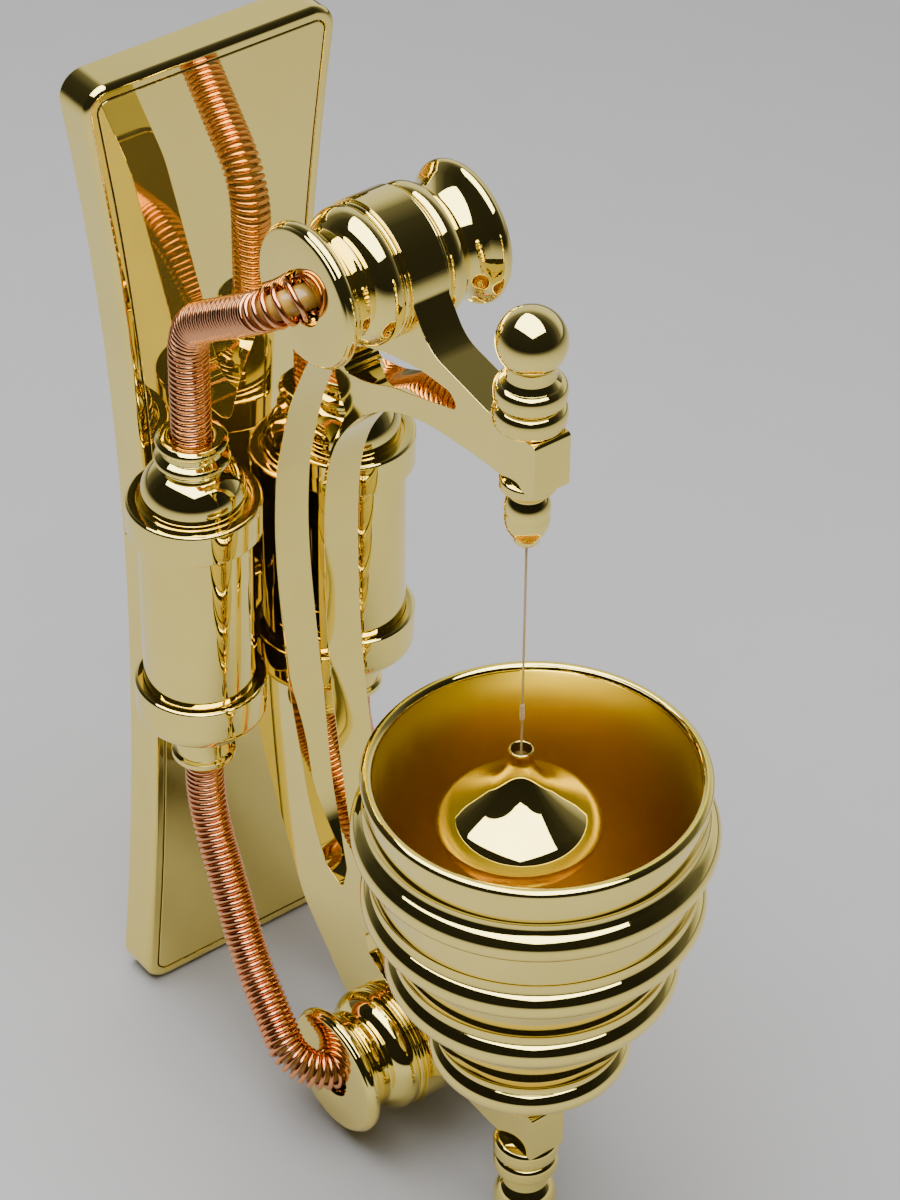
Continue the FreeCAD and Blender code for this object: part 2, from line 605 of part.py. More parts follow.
# Nozzle under the block.
nozzle_h = block_up_z - line_top + 0.8
turned("nozzle", [
    (1.1, -nozzle_h), (2.0, -nozzle_h), (2.4, -nozzle_h + 0.5, 0.3), (2.4, -nozzle_h + 1.2),
    (4.1, -nozzle_h + 6.8, 0.24), (3.4, -4.3, 0.22), (3.5, -3.7, -0.4), (5.0, -2.2, -0.25),
    (5.2, -1.8, 0.3), (5.2, -0.5), (4.8, 0, 0.3), (1.1, 0)], 0, reach(nozzle_reach), block_up_z)

# Line and bob: the line's stop sits in the nozzle's bore, and the bob hangs plumb under it with its
# mouth just above the cup's lip.
line_low = bob_mouth_z - 3.2
stop_r = dim("stop_radius", 0.8, "radius of the line's stop in the nozzle's bore")
stop_h = dim("stop_height", 1.6, "height of the line's stop")
doc.recompute()
turned("line_stop", [(0, 0), (stop_r - 0.3, 0), (stop_r, 0.5, 0.3), (stop_r, stop_h - 0.5),
                     (stop_r - 0.3, stop_h, 0.3), (0, stop_h)], 0, reach(nozzle_reach), line_top + fit)
turned("line", [(0, 0), (line_r, 0), (line_r, line_top - line_low), (0, line_top - line_low)],
       0, reach(nozzle_reach), line_low)
knot_z = bob_mouth_z + 6.6
turned("line_knot", [(line_r, 0), (0.62, 0.9, 0.3), (0.55, 3.4), (line_r, 4.4, 0.3)],
       0, reach(nozzle_reach), knot_z)
mouth = bob_mouth_z
bob = [
    (0, -3.2), (1.0, -3.2), (1.9, -2.2), (1.95, -0.2), (2.15, 0.0, -0.4), (2.35, -0.3, -0.4),
    (2.15, -2.2), (6.0, -9.2, 0.16), (bob_r - 3.3, -13.9, 0.06), (bob_r, -17.6, -0.16),
    (bob_r - 3.0, -23.4, -0.2), (6.5, -27.2, -0.12),
    (1.5, -28.3, -0.05), (0, -28.3)]
turned("bob", bob, 0, reach(nozzle_reach), mouth)

# Cup: a deep bell with a rolled lip and four beads with tapered bands between them.
lip = cup_rim_z
inner_lip = cup_rim_r - cup_wall
z1 = lip - 13.6
z2 = lip - 30.0
z3 = lip - 47.4
z4 = lip - 69.4
cup = [
    (inner_lip, lip - 1.2), (cup_rim_r, lip - 1.2, -0.96), (cup_rim_r - 0.5, lip - 3.2),
    (cup_rim_r + 0.1, z1 + 4.1), (bead_r - 2.0, z1 + 3.5), (bead_r - 2.1, z1 - 3.5, -0.56),
    (bead_r - 2.7, z1 - 3.9), (bead_two - 1.3, z2 + 4.1), (bead_two - 1.8, z2 + 3.5),
    (bead_two - 2.3, z2 - 3.5, -0.56), (bead_two - 2.9, z2 - 3.9), (bead_three - 0.9, z3 + 4.1),
    (bead_three - 1.6, z3 + 3.5), (bead_three - 2.5, z3 - 3.5, -0.56), (bead_three - 3.1, z3 - 3.9),
    (bead_four - 0.4, z4 + 4.1), (bead_four - 1.4, z4 + 3.5), (bead_four - 2.6, z4 - 3.0, -0.56),
    (bead_four - 4.4, cup_foot_z), (stem_r + fit, cup_foot_z),
    (stem_r + fit, cup_foot_z + 3.0), (11.0, cup_foot_z + 3.0), (bead_four - 4.2, z4 + 3.0, 0.2),
    (bead_three - 5.0, z3, 0.06), (bead_two - 4.6, z2, 0.05), (inner_lip, z1, 0.05)]
cup = [cup[-1]] + cup[:-1]
turned("cup", cup, 0, reach(cup_reach), 0)

# Seat between the cup and the lower block, with one stud through both.
seat_h = cup_foot_z - block_low_z - block_h
turned("cup_seat", [
    (stem_r + fit, 0), (6.4, 0), (6.6, 1.4, 0.3), (5.0, 2.6), (4.6, seat_h - 3.2, -0.1),
    (9.0, seat_h - 0.8), (9.0, seat_h), (stem_r + fit, seat_h)], 0, reach(cup_reach), block_low_z + block_h)
stud_h = seat_h + 8.6
turned("cup_stud", [(0, 0), (stem_r, 0), (stem_r, stud_h - 2.0), (3.6, stud_h - 2.0), (3.6, stud_h - 0.7),
                    (2.9, stud_h, 0.3), (0, stud_h)], 0, reach(cup_reach), block_low_z + block_h - 3.6)

# Lower finial: a collar under the block and the ball foot.
turned("foot_collar", [
    (stem_r + fit, 0), (5.6, 0), (flange_r, -1.6, -0.4), (flange_r, -3.4, -0.1), (5.4, -4.7, -0.3),
    (stem_r + fit, -4.7)], 0, reach(cup_reach), block_low_z)
foot_top_z = block_low_z - 4.7
foot_ball = [
    (0, foot_top_z + 11.4), (stem_r, foot_top_z + 11.4), (stem_r, foot_top_z), (5.4, foot_top_z),
    (flange_r - 0.1, foot_top_z - 1.5, -0.4), (flange_r - 0.1, foot_top_z - 3.2, -0.1),
    (5.4, foot_top_z - 4.2, -0.3), (neck_r, foot_top_z - 5.0), (neck_r, ball_r + dip),
    (ball_r, ball_r, -lower_ball), (0, 0, -quarter)]
turned("ball_foot", foot_ball, 0, reach(cup_reach), 0)

# Hoses: straight runs joined by tangent arcs, from a gland to the middle of a spool's disc.


def hose_route(sign, level):
    x = sign * cyl_x.value
    y = reach(cyl_reach).value
    deep = sign * (spool_half.value - socket_d.value)
    if level == "upper":
        at = reach(eye_up_reach).value
        z = eye_up_z.value
        bow = sign * bow_up.value
        start = dome_z.value + 7.6
        points = [V(x, y, start), V(x, y, neck_top.value + 25.6), V(bow, at, z), V(deep, at, z)]
        return points, [15.0, 7.6]
    at = reach(eye_low_reach).value
    z = eye_low_z.value
    bow = sign * bow_low.value
    start = barrel_low.value - 10.6
    sag = V(sign * 22.0, y - 20.0, spout_low.value - 41.0)
    points = [V(x, y, start), V(x, y, spout_low.value - 14.0), sag, V(bow, at, z), V(deep, at, z)]
    return points, [26.0, 40.0, 9.0]


def bend(points, radii):
    """The route as edges: each corner is replaced by an arc of its radius."""
    edges = []
    last = points[0]
    for i in range(1, len(points) - 1):
        back = points[i - 1] - points[i]
        ahead = points[i + 1] - points[i]
        turn = math.pi - back.getAngle(ahead)
        cut = radii[i - 1] * math.tan(turn * 0.5)
        first = points[i] + back.normalize() * cut
        second = points[i] + ahead.normalize() * cut
        inward = ((first + second) * 0.5 - points[i]).normalize()
        middle = points[i] + inward * (math.hypot(radii[i - 1], cut) - radii[i - 1])
        edges.append(Part.LineSegment(last, first).toShape())
        edges.append(Part.Arc(first, middle, second).toShape())
        last = second
    edges.append(Part.LineSegment(last, points[-1]).toShape())
    return edges


def frames(edges, step):
    """Points along the route with a frame that doesn't twist: (length so far, point, way, side)."""
    rows = []
    done = 0.0
    side = None
    for edge in edges:
        count = max(2, int(math.ceil(edge.Length / step)))
        for i in range(count + 1):
            if rows and i == 0:
                continue
            along = edge.FirstParameter + (edge.LastParameter - edge.FirstParameter) * i / count
            point = edge.valueAt(along)
            way = edge.tangentAt(along)
            if side is None:
                side = V(1, 0, 0) if abs(way.x) < 0.5 else V(0, 0, 1)
            side = (side - way * side.dot(way)).normalize()
            rows.append((done + edge.Length * i / count, point, way, side))
        done += edge.Length
    return rows


def frame_at(rows, along):
    for i in range(1, len(rows)):
        if rows[i][0] >= along or i == len(rows) - 1:
            a = rows[i - 1]
            b = rows[i]
            part = (along - a[0]) / (b[0] - a[0])
            point = a[1] + (b[1] - a[1]) * part
            way = (a[2] + (b[2] - a[2]) * part).normalize()
            side = a[3] + (b[3] - a[3]) * part
            side = (side - way * side.dot(way)).normalize()
            return point, way, side


def arc_edge(start, way, end):
    """The arc from start to end that leaves along way, or a line when they are in line."""
    chord = end - start
    across = chord - way * chord.dot(way)
    if across.Length < 1e-6:
        return Part.LineSegment(start, end).toShape()
    across.normalize()
    radius = chord.dot(chord) / (2.0 * chord.dot(across))
    centre = start + across * radius
    middle = ((start - centre) + (end - centre)).normalize()
    return Part.Arc(start, centre + middle * radius, end).toShape()


def biarc(p, s, q, t):
    """Two tangent arcs from p along s to q along t."""
    chord = q - p
    both = s + t
    a = 2.0 * (1.0 - s.dot(t))
    b = chord.dot(both)
    c = chord.dot(chord)
    if a < 1e-9:
        arm_length = c / (2.0 * b)
    else:
        arm_length = (-b + math.sqrt(b * b + a * c)) / a
    middle = (p + q + (s - t) * arm_length) * 0.5
    way = (q - t * arm_length) - (p + s * arm_length)
    way.normalize()
    return [arc_edge(p, s, middle), arc_edge(middle, way, q)]


def coil_edges(rows, first, last, turns):
    """The wire's centre line round the route, a station every quarter turn."""
    quarters = int(turns) * 4
    step = 1e-3

    def spot(along, angle):
        point, way, side = frame_at(rows, along)
        other = way.cross(side)
        return point + (side * math.cos(angle) + other * math.sin(angle)) * coil_r.value

    stations = []
    for k in range(quarters + 1):
        along = first + (last - first) * k / quarters
        angle = k * math.pi * 0.5
        speed = (last - first) / (quarters * math.pi * 0.5)
        here = spot(along, angle)
        before = spot(along - speed * step, angle - step)
        after = spot(along + speed * step, angle + step)
        stations.append((here, (after - before).normalize()))
    point, way, side = frame_at(rows, first - 1.4)
    tail = 2.0 * wire_r.value
    lead = point + side * coil_r.value
    start = (lead - way * tail, way)
    edges = [Part.LineSegment(lead - way * tail, lead).toShape()]
    edges += biarc(lead, way, stations[1][0], stations[1][1])
    for k in range(1, quarters - 1):
        edges += biarc(stations[k][0], stations[k][1], stations[k + 1][0], stations[k + 1][1])
    point, way, side = frame_at(rows, last + 1.4)
    end = point + side * coil_r.value
    edges += biarc(stations[-2][0], stations[-2][1], end, way)
    edges.append(Part.LineSegment(end, end + way * tail).toShape())
    return edges, start


def pipe(edges, start, way, radius):
    ring = Part.Wire(Part.Circle(start, way, radius).toShape())
    return Part.Wire(edges).makePipeShell([ring], True, False)


def solid_piece(label, shape):
    feature = doc.addObject("Part::Feature", label)
    feature.Label = label
    feature.Shape = shape
    feature.Placement = FreeCAD.Placement()
    pieces.append(feature)


for level in ("upper", "lower"):
    for side, sign in sides:
        points, radii = hose_route(sign, level)
        edges = bend(points, radii)
        length = sum(edge.Length for edge in edges)
        way = edges[0].tangentAt(edges[0].FirstParameter)
        tube = pipe(edges, points[0], way, hose_r.value).cut(pipe(edges, points[0], way, hose_bore.value))
        solid_piece("%s_hose_%s" % (level, side), tube)
        section = math.pi * (hose_r.value ** 2 - hose_bore.value ** 2)
        ratio = tube.Volume / (section * length)
        print(level, side, "hose radii", radii, "volume ratio", round(ratio, 4))
        rows = frames(edges, 0.25)
        gland_end = abs((neck_top if level == "upper" else spout_low).value - points[0].z) - mouth_d.value
        first = gland_end + 2.0 * wire_r.value + 1.5
        last = length - 2.0 * wire_r.value - 1.5
        wire, begin = coil_edges(rows, first, last, coil_turns.value)
        solid_piece("%s_coil_%s" % (level, side), pipe(wire, begin[0], begin[1], wire_r.value))
        marks = []
        for edge in wire:
            span = edge.LastParameter - edge.FirstParameter
            marks += [edge.valueAt(edge.FirstParameter + span * n / 3.0) for n in range(3)]
        gap = min(a.distanceToPoint(b) for i, a in enumerate(marks) for b in marks[i + 12:])
        gap -= 2.0 * wire_r.value
        print(level, side, "coil turns", int(coil_turns.value), "least gap", round(gap, 2))

doc.recompute()
for item in doc.Objects:
    if "Invalid" in item.State or "Error" in item.State:
        raise RuntimeError("%s is %s" % (item.Name, item.State))
for item in pieces:
    if item.Shape.isNull() or not item.Shape.isValid() or len(item.Shape.Solids) != 1:
        raise RuntimeError("%s is not one valid solid" % item.Label)
os.makedirs("parts", exist_ok=True)
for item in pieces:
    item.Shape.exportStep(os.path.join("parts", item.Label + ".step"))
print(len(pieces), "pieces")
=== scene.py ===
"""Polished brass drip fixture: its looks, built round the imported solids.

A waisted mirror plate carries a C-shaped arm. Two cylinders feed four hoses in copper sheaths,
and a bob hangs on a line from the nozzle into a beaded cup.
"""

import math

import bpy
from mathutils import Matrix, Vector


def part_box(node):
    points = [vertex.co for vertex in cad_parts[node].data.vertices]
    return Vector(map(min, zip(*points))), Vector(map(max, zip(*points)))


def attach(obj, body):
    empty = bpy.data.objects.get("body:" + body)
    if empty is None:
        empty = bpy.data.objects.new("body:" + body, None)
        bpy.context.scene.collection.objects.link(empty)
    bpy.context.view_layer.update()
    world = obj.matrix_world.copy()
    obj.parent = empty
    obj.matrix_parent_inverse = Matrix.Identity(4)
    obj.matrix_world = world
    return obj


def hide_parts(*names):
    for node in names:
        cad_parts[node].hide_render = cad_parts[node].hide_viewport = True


bl_info = {
    "name": "Brass Drip Fixture",
    "version": (1, 0, 0),
    "blender": (4, 5, 0),
    "location": "View3D > Sidebar > Drip Fixture",
    "description": "Builds a brass drip fixture with sheathed hoses, a bob and a beaded cup",
    "category": "Mesh",
}

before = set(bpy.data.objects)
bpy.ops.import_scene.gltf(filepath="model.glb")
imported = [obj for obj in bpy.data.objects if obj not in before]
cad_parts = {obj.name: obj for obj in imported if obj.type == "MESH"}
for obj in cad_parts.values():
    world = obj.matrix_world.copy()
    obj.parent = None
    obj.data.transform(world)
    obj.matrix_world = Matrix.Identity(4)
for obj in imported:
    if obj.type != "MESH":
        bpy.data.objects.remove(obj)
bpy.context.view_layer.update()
MM = 0.001

# Shared places and sizes, in millimetres, from the solids. The plate's front face is at PLATE_Y.
PLATE_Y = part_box("front_panel")[0].y / MM
NOZZLE_Y = PLATE_Y - 95.6
CUP_Y = PLATE_Y - 100.5
CYLINDER_X = 18.42
CYLINDER_Y = PLATE_Y - 16.1
EYES = {"upper": (PLATE_Y - 53.6, 208.15), "lower": (PLATE_Y - 59.3, 18.1)}
BLOCK_TOP = 197.8
BLOCK_LOW = 23.4
BLOCK_HEIGHT = 11.4
COLLAR_HEIGHT = 4.7
ARM_HALF = 4.0
SPOOL_END = 18.6
SPOOL_SOCKET = 3.6
LINE_TOP = 172.4
BOB_TOP = 122.5
BOB_HOLE = 3.2
SIDES = (("left", -1.0), ("right", 1.0))

# Heights between which the cup's lining turns from its painted shade, a deep amber low in the cup,
# to its bright colour, in millimetres.
LINING_SHADE_FULL = 94.0
LINING_SHADE_CLEAR = 115.0

# How the meshes are drawn, closed, shaded and given their fine grain, with angles in degrees. A
# corner of a turned section is rounded from SHARP_TURN up, and a plate's edge from EDGE_ANGLE up.
ARC_STEP = 5.0
SHARP_TURN = 24.0
FLAT_ANGLE = 0.6
EDGE_ANGLE = 38.0
SMOOTH_ANGLE = 33.0
WIRE_SMOOTH_ANGLE = 60.0
MERGE_DISTANCE = 2e-6
GRAIN_DEPTH = 0.01 * MM

# How the copper is wound: its first angle in radians, its pitch in wire radii, how much a bend
# opens it, and how far its loose end opens and widens.
WIND_START = 0.4
WIND_PITCH = 2.05
WIND_BEND = 0.5
LOOSE_OPEN = 0.9
LOOSE_WIDE = 0.12

# The stage: a soft light overhead, a dim room in front and a pale wall at the back right. Each of
# the room's tones is a place between the dim side and the pale wall, a grey and its blue.
FLOOR_SIZE = 9.0
FLOOR_DROP = 0.5 * MM
SOFTBOX_SIZE = (0.86, 1.26)
SOFTBOX_SPOT = (-0.13, -0.05, 0.95)
SOFTBOX_TURN = 5.0
SOFTBOX_POWER = 25.5
PALE_WALL = (0.72, 0.62, -0.35)
ROOM_TONES = (
    (0.36, 0.012, 0.013), (0.52, 0.03, 0.0306), (0.68, 0.15, 0.153), (0.80, 0.78, 0.7956),
    (0.86, 0.88, 0.8976))

# The camera: its place, lens and frame in millimetres, and its turn, tilt and roll in degrees.
CAMERA_SPOT = (-355.75, -472.41, 618.52)
CAMERA_ANGLES = (-37.583, 39.159, 0.634)
CAMERA_LENS = 121.55
CAMERA_FRAME = (27.0, 36.0)


class FixtureSizes(bpy.types.PropertyGroup):
    """Sizes of the parts that are finer here than in the solids."""

    turn_steps: bpy.props.IntProperty(
        name="Turning Steps", description="Faces round a turned piece",
        default=160, min=24, max=256)
    edge_break: bpy.props.FloatProperty(
        name="Edge Break", description="Rounding of a turned piece's sharp edges",
        default=0.22 * MM, min=0.0, max=0.001, subtype="DISTANCE", unit="LENGTH", precision=5)
    plate_break: bpy.props.FloatProperty(
        name="Plate Edge Break", description="Rounding of the arm's and panel's sharp edges",
        default=0.28 * MM, min=0.0, max=0.001, subtype="DISTANCE", unit="LENGTH", precision=5)
    wire_radius: bpy.props.FloatProperty(
        name="Wire Radius", description="Radius of the copper wire",
        default=0.6 * MM, min=0.0001, max=0.002, subtype="DISTANCE", unit="LENGTH", precision=5)
    coil_radius: bpy.props.FloatProperty(
        name="Coil Radius", description="Mean radius of the copper sheath",
        default=3.45 * MM, min=0.001, max=0.01, subtype="DISTANCE", unit="LENGTH", precision=5)
    hose_radius: bpy.props.FloatProperty(
        name="Hose Radius", description="Outside radius of the inner hose",
        default=2.55 * MM, min=0.001, max=0.01, subtype="DISTANCE", unit="LENGTH", precision=5)
    line_radius: bpy.props.FloatProperty(
        name="Line Radius", description="Radius of the line that carries the bob",
        default=0.23 * MM, min=0.0001, max=0.002, subtype="DISTANCE", unit="LENGTH", precision=5)


class FixtureFinish(bpy.types.PropertyGroup):
    """Colours and polish of the finishes."""

    brass: bpy.props.FloatVectorProperty(
        name="Brass", description="Colour of the polished brass", subtype="COLOR", size=3,
        default=(0.97, 0.80, 0.23), min=0.0, max=1.0)
    lining: bpy.props.FloatVectorProperty(
        name="Lining", description="Colour of the cup's satin lining at the lip",
        subtype="COLOR", size=3, default=(0.92, 0.74, 0.03), min=0.0, max=1.0)
    # The lining's colour further down is painted shade, darker towards the cup's bottom.
    lining_painted_shade: bpy.props.FloatVectorProperty(
        name="Lining Painted Shade", description="Colour of the cup's satin lining further down",
        subtype="COLOR", size=3, default=(0.62, 0.41, 0.01), min=0.0, max=1.0)
    copper: bpy.props.FloatVectorProperty(
        name="Copper", description="Colour of the copper wire", subtype="COLOR", size=3,
        default=(0.82, 0.36, 0.16), min=0.0, max=1.0)
    hose: bpy.props.FloatVectorProperty(
        name="Hose", description="Colour of the inner hose", subtype="COLOR", size=3,
        default=(0.56, 0.33, 0.05), min=0.0, max=1.0)
    line: bpy.props.FloatVectorProperty(
        name="Line", description="Colour of the nylon line", subtype="COLOR", size=3,
        default=(0.74, 0.55, 0.24), min=0.0, max=1.0)
    floor: bpy.props.FloatVectorProperty(
        name="Floor", description="Colour of the pale floor", subtype="COLOR", size=3,
        default=(0.40, 0.395, 0.40), min=0.0, max=1.0)
    polish: bpy.props.FloatProperty(
        name="Polish", description="Roughness of the polished brass",
        default=0.024, min=0.0, max=1.0, subtype="FACTOR")


def sizes():
    """The fixture's sizes, as the scene keeps them."""
    return bpy.context.scene.fixture_sizes


def finish():
    """The fixture's colours and polish, as the scene keeps them."""
    return bpy.context.scene.fixture_finish


def node_group(material):
    """The material's node tree, with its shader and a node for object coordinates."""
    material.use_nodes = True
    tree = material.node_tree
    tree.nodes.clear()
    output = tree.nodes.new("ShaderNodeOutputMaterial")
    shader = tree.nodes.new("ShaderNodeBsdfPrincipled")
    place = tree.nodes.new("ShaderNodeTexCoord")
    tree.links.new(shader.outputs["BSDF"], output.inputs["Surface"])
    return tree, shader, place


def noise(tree, place, scale, detail, stretch=(1.0, 1.0, 1.0)):
    """A noise pattern on object coordinates, drawn out by a stretch on each axis."""
    mapping = tree.nodes.new("ShaderNodeMapping")
    mapping.inputs["Scale"].default_value = stretch
    pattern = tree.nodes.new("ShaderNodeTexNoise")
    pattern.inputs["Scale"].default_value = scale
    pattern.inputs["Detail"].default_value = detail
    tree.links.new(place.outputs["Object"], mapping.inputs["Vector"])
    tree.links.new(mapping.outputs["Vector"], pattern.inputs["Vector"])
    return pattern


def spread(tree, source, low, high, start=0.3, stop=0.7):
    """The pattern's value laid between two numbers."""
    span = tree.nodes.new("ShaderNodeMapRange")
    span.inputs["From Min"].default_value = start
    span.inputs["From Max"].default_value = stop
    span.inputs["To Min"].default_value = low
    span.inputs["To Max"].default_value = high
    tree.links.new(source.outputs["Fac"], span.inputs["Value"])
    return span


def tint(tree, source, dark, pale, start=0.35, stop=0.65):
    """The pattern's value as a colour between two."""
    ramp = tree.nodes.new("ShaderNodeValToRGB")
    ramp.color_ramp.elements[0].position = start
    ramp.color_ramp.elements[1].position = stop
    ramp.color_ramp.elements[0].color = (*dark, 1.0)
    ramp.color_ramp.elements[1].color = (*pale, 1.0)
    tree.links.new(source.outputs["Fac"], ramp.inputs["Fac"])
    return ramp


def relief(tree, shader, source, strength, depth=GRAIN_DEPTH):
    """The pattern as a fine relief in the surface."""
    bump = tree.nodes.new("ShaderNodeBump")
    bump.inputs["Strength"].default_value = strength
    bump.inputs["Distance"].default_value = depth
    tree.links.new(source.outputs["Fac"], bump.inputs["Height"])
    tree.links.new(bump.outputs["Normal"], shader.inputs["Normal"])


def metal(name, colour, rough_low, rough_high, grain, strength, bare=0.993):
    """A polished metal: a slightly uneven colour, a wiped haze and fine polishing lines. The share
    that isn't bare metal is the lacquer's faint cloudiness."""
    material = bpy.data.materials.get(name)
    if material:
        return material
    material = bpy.data.materials.new(name)
    tree, shader, place = node_group(material)
    shader.inputs["Metallic"].default_value = bare
    haze = noise(tree, place, 70.0, 4.0)
    deep = tuple(c * k for c, k in zip(colour, (0.975, 0.965, 0.93)))
    ramp = tint(tree, haze, deep, colour)
    tree.links.new(ramp.outputs["Color"], shader.inputs["Base Color"])
    wipe = noise(tree, place, 160.0, 6.0, grain)
    rough = spread(tree, wipe, rough_low, rough_high)
    tree.links.new(rough.outputs["Result"], shader.inputs["Roughness"])
    if strength:
        lines = noise(tree, place, 900.0, 3.0, grain)
        relief(tree, shader, lines, strength)
    return material


def polished_brass(name, low, high, grain, strength, bare=0.993):
    """Polished brass, with its roughness as shares of the set polish."""
    polish = finish().polish
    return metal(name, tuple(finish().brass), polish * low, polish * high, grain, strength, bare)


def turned_brass():
    """Brass polished on the lathe, with faint rings round an upright axis."""
    return polished_brass("turned_brass", 0.7, 1.5, (0.03, 0.03, 2.2), 0.03)


def cross_turned_brass():
    """Brass polished on the lathe, with faint rings round an axis from side to side."""
    return polished_brass("cross_turned_brass", 0.7, 1.5, (2.2, 0.03, 0.03), 0.02)


def plate_brass():
    """Flat-lapped brass of the arm and the plate."""
    return polished_brass("plate_brass", 0.8, 1.9, (2.0, 0.4, 0.4), 0.04)


def mirror_brass():
    """Mirror sheet of the front panel."""
    return polished_brass("lapped_mirror_brass", 0.3, 0.6, (1.0, 1.0, 0.25), 0.0, 0.94)


def lining_brass():
    """Lacquered satin lining of the cup: bright near the lip, darker further down as painted shade
    in the cup's hollow.
    """
    material = bpy.data.materials.get("satin_lining_brass")
    if material:
        return material
    material = bpy.data.materials.new("satin_lining_brass")
    tree, shader, place = node_group(material)
    shader.inputs["Metallic"].default_value = 1.0
    shader.inputs["Coat Weight"].default_value = 0.7
    shader.inputs["Coat Roughness"].default_value = 0.06
    axes = tree.nodes.new("ShaderNodeSeparateXYZ")
    height = tree.nodes.new("ShaderNodeMapRange")
    height.inputs["From Min"].default_value = LINING_SHADE_FULL * MM
    height.inputs["From Max"].default_value = LINING_SHADE_CLEAR * MM
    # Painted shade: the lining darkens from its lip colour down into the cup.
    painted_shade_blend = tree.nodes.new("ShaderNodeValToRGB")
    painted_shade_blend.color_ramp.elements[0].color = (*finish().lining_painted_shade, 1.0)
    painted_shade_blend.color_ramp.elements[1].color = (*finish().lining, 1.0)
    tree.links.new(place.outputs["Object"], axes.inputs["Vector"])
    tree.links.new(axes.outputs["Z"], height.inputs["Value"])
    tree.links.new(height.outputs["Result"], painted_shade_blend.inputs["Fac"])
    tree.links.new(painted_shade_blend.outputs["Color"], shader.inputs["Base Color"])
    wipe = spread(tree, noise(tree, place, 160.0, 6.0, (0.6, 0.6, 0.05)), 0.29, 0.34)
    rough = tree.nodes.new("ShaderNodeMath")
    rough.operation = "MULTIPLY_ADD"
    rough.inputs[1].default_value = 0.08
    tree.links.new(height.outputs["Result"], rough.inputs[0])
    tree.links.new(wipe.outputs["Result"], rough.inputs[2])
    tree.links.new(rough.outputs["Value"], shader.inputs["Roughness"])
    return material


def shaded_bore_brass():
    """Dull brass inside the bob's hole, its colour darkened as painted shade in the hole."""
    # The dark colour is painted shade in the bore.
    return metal("dull_shaded_bore_brass", (0.20, 0.13, 0.03), 0.40, 0.55, (1.0, 1.0, 1.0), 0.1)


def copper():
    """Bright drawn wire, a little darker where it was handled."""
    return metal("drawn_copper", tuple(finish().copper), 0.10, 0.26, (1.0, 1.0, 1.0), 0.1)


def steel():
    """Bright steel of the hidden screws."""
    return metal("bright_steel", (0.56, 0.56, 0.57), 0.22, 0.36, (1.0, 0.3, 1.0), 0.1)


def hose_rubber():
    """Glossy amber hose with cloudy streaks."""
    material = bpy.data.materials.get("cloudy_amber_hose")
    if material:
        return material
    material = bpy.data.materials.new("cloudy_amber_hose")
    tree, shader, place = node_group(material)
    cloud = noise(tree, place, 320.0, 5.0)
    colour = tuple(finish().hose)
    ramp = tint(tree, cloud, tuple(c * 0.6 for c in colour), colour)
    tree.links.new(ramp.outputs["Color"], shader.inputs["Base Color"])
    rough = spread(tree, cloud, 0.22, 0.42)
    tree.links.new(rough.outputs["Result"], shader.inputs["Roughness"])
    shader.inputs["Coat Weight"].default_value = 0.4
    relief(tree, shader, cloud, 0.2, 0.05 * MM)
    return material


def nylon():
    """Clear nylon line, faintly yellow."""
    material = bpy.data.materials.get("clear_nylon")
    if material:
        return material
    material = bpy.data.materials.new("clear_nylon")
    tree, shader, place = node_group(material)
    streak = noise(tree, place, 500.0, 3.0, (1.0, 1.0, 0.2))
    colour = tuple(finish().line)
    ramp = tint(tree, streak, tuple(c * 0.85 for c in colour), colour)
    tree.links.new(ramp.outputs["Color"], shader.inputs["Base Color"])
    shader.inputs["Roughness"].default_value = 0.18
    shader.inputs["Transmission Weight"].default_value = 0.3
    shader.inputs["IOR"].default_value = 1.53
    return material


def dress(piece, material, slot, body, *nodes):
    """Give a finished piece its material, its body and the solids that it stands for. The slot is
    not used.
    """
    piece.data.materials.clear()
    piece.data.materials.append(material)
    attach(piece, body)
    if nodes:
        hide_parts(*nodes)


def paint(node, material):
    """Give a solid that stays in view its material."""
    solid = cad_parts[node]
    solid.data.materials.clear()
    solid.data.materials.append(material)


def outline(corners):
    """Half section of a turned piece as fine points. Each corner is a radius and a height, with a
    bulge where an arc leads to it."""
    points = [Vector((corners[0][0], corners[0][1]))]
    for before, here in zip(corners, corners[1:]):
        start = Vector(before[:2])
        end = Vector(here[:2])
        bulge = here[2] if len(here) > 2 else 0.0
        if not bulge:
            points.append(end)
            continue
        chord = end - start
        turn = 4.0 * math.atan(abs(bulge))
        radius = chord.length * (1.0 + bulge * bulge) / (4.0 * abs(bulge))
        side = Vector((chord.y, -chord.x)).normalized() * math.copysign(1.0, bulge)
        centre = (start + end) * 0.5 + side * (abs(bulge) * chord.length * 0.5 - radius)
        steps = max(3, int(math.ceil(math.degrees(turn) / ARC_STEP)))
        first = start - centre
        swing = turn if first.x * (end - centre).y - first.y * (end - centre).x > 0 else -turn
        for k in range(1, steps + 1):
            points.append(centre + Matrix.Rotation(swing * k / steps, 2) @ first)
    return points


def broken(points, radius):
    """The same points with each sharp corner rounded a little."""
    result = [points[0]]
    for before, here, after in zip(points, points[1:], points[2:]):
        back = before - here
        ahead = after - here
        if back.length < 1e-9 or ahead.length < 1e-9:
            continue
        turn = math.pi - back.angle(ahead)
        if turn < math.radians(SHARP_TURN) or here.x < 1e-6:
            result.append(here)
            continue
        reach = 0.4 * min(back.length, ahead.length)
        cut = min(radius * math.tan(min(turn, 2.6) * 0.5), reach)
        first = here + back.normalized() * cut
        last = here + ahead.normalized() * cut
        for k in range(5):
            t = k / 4.0
            result.append(first * (1 - t) ** 2 + here * 2 * t * (1 - t) + last * t ** 2)
    result.append(points[-1])
    return result


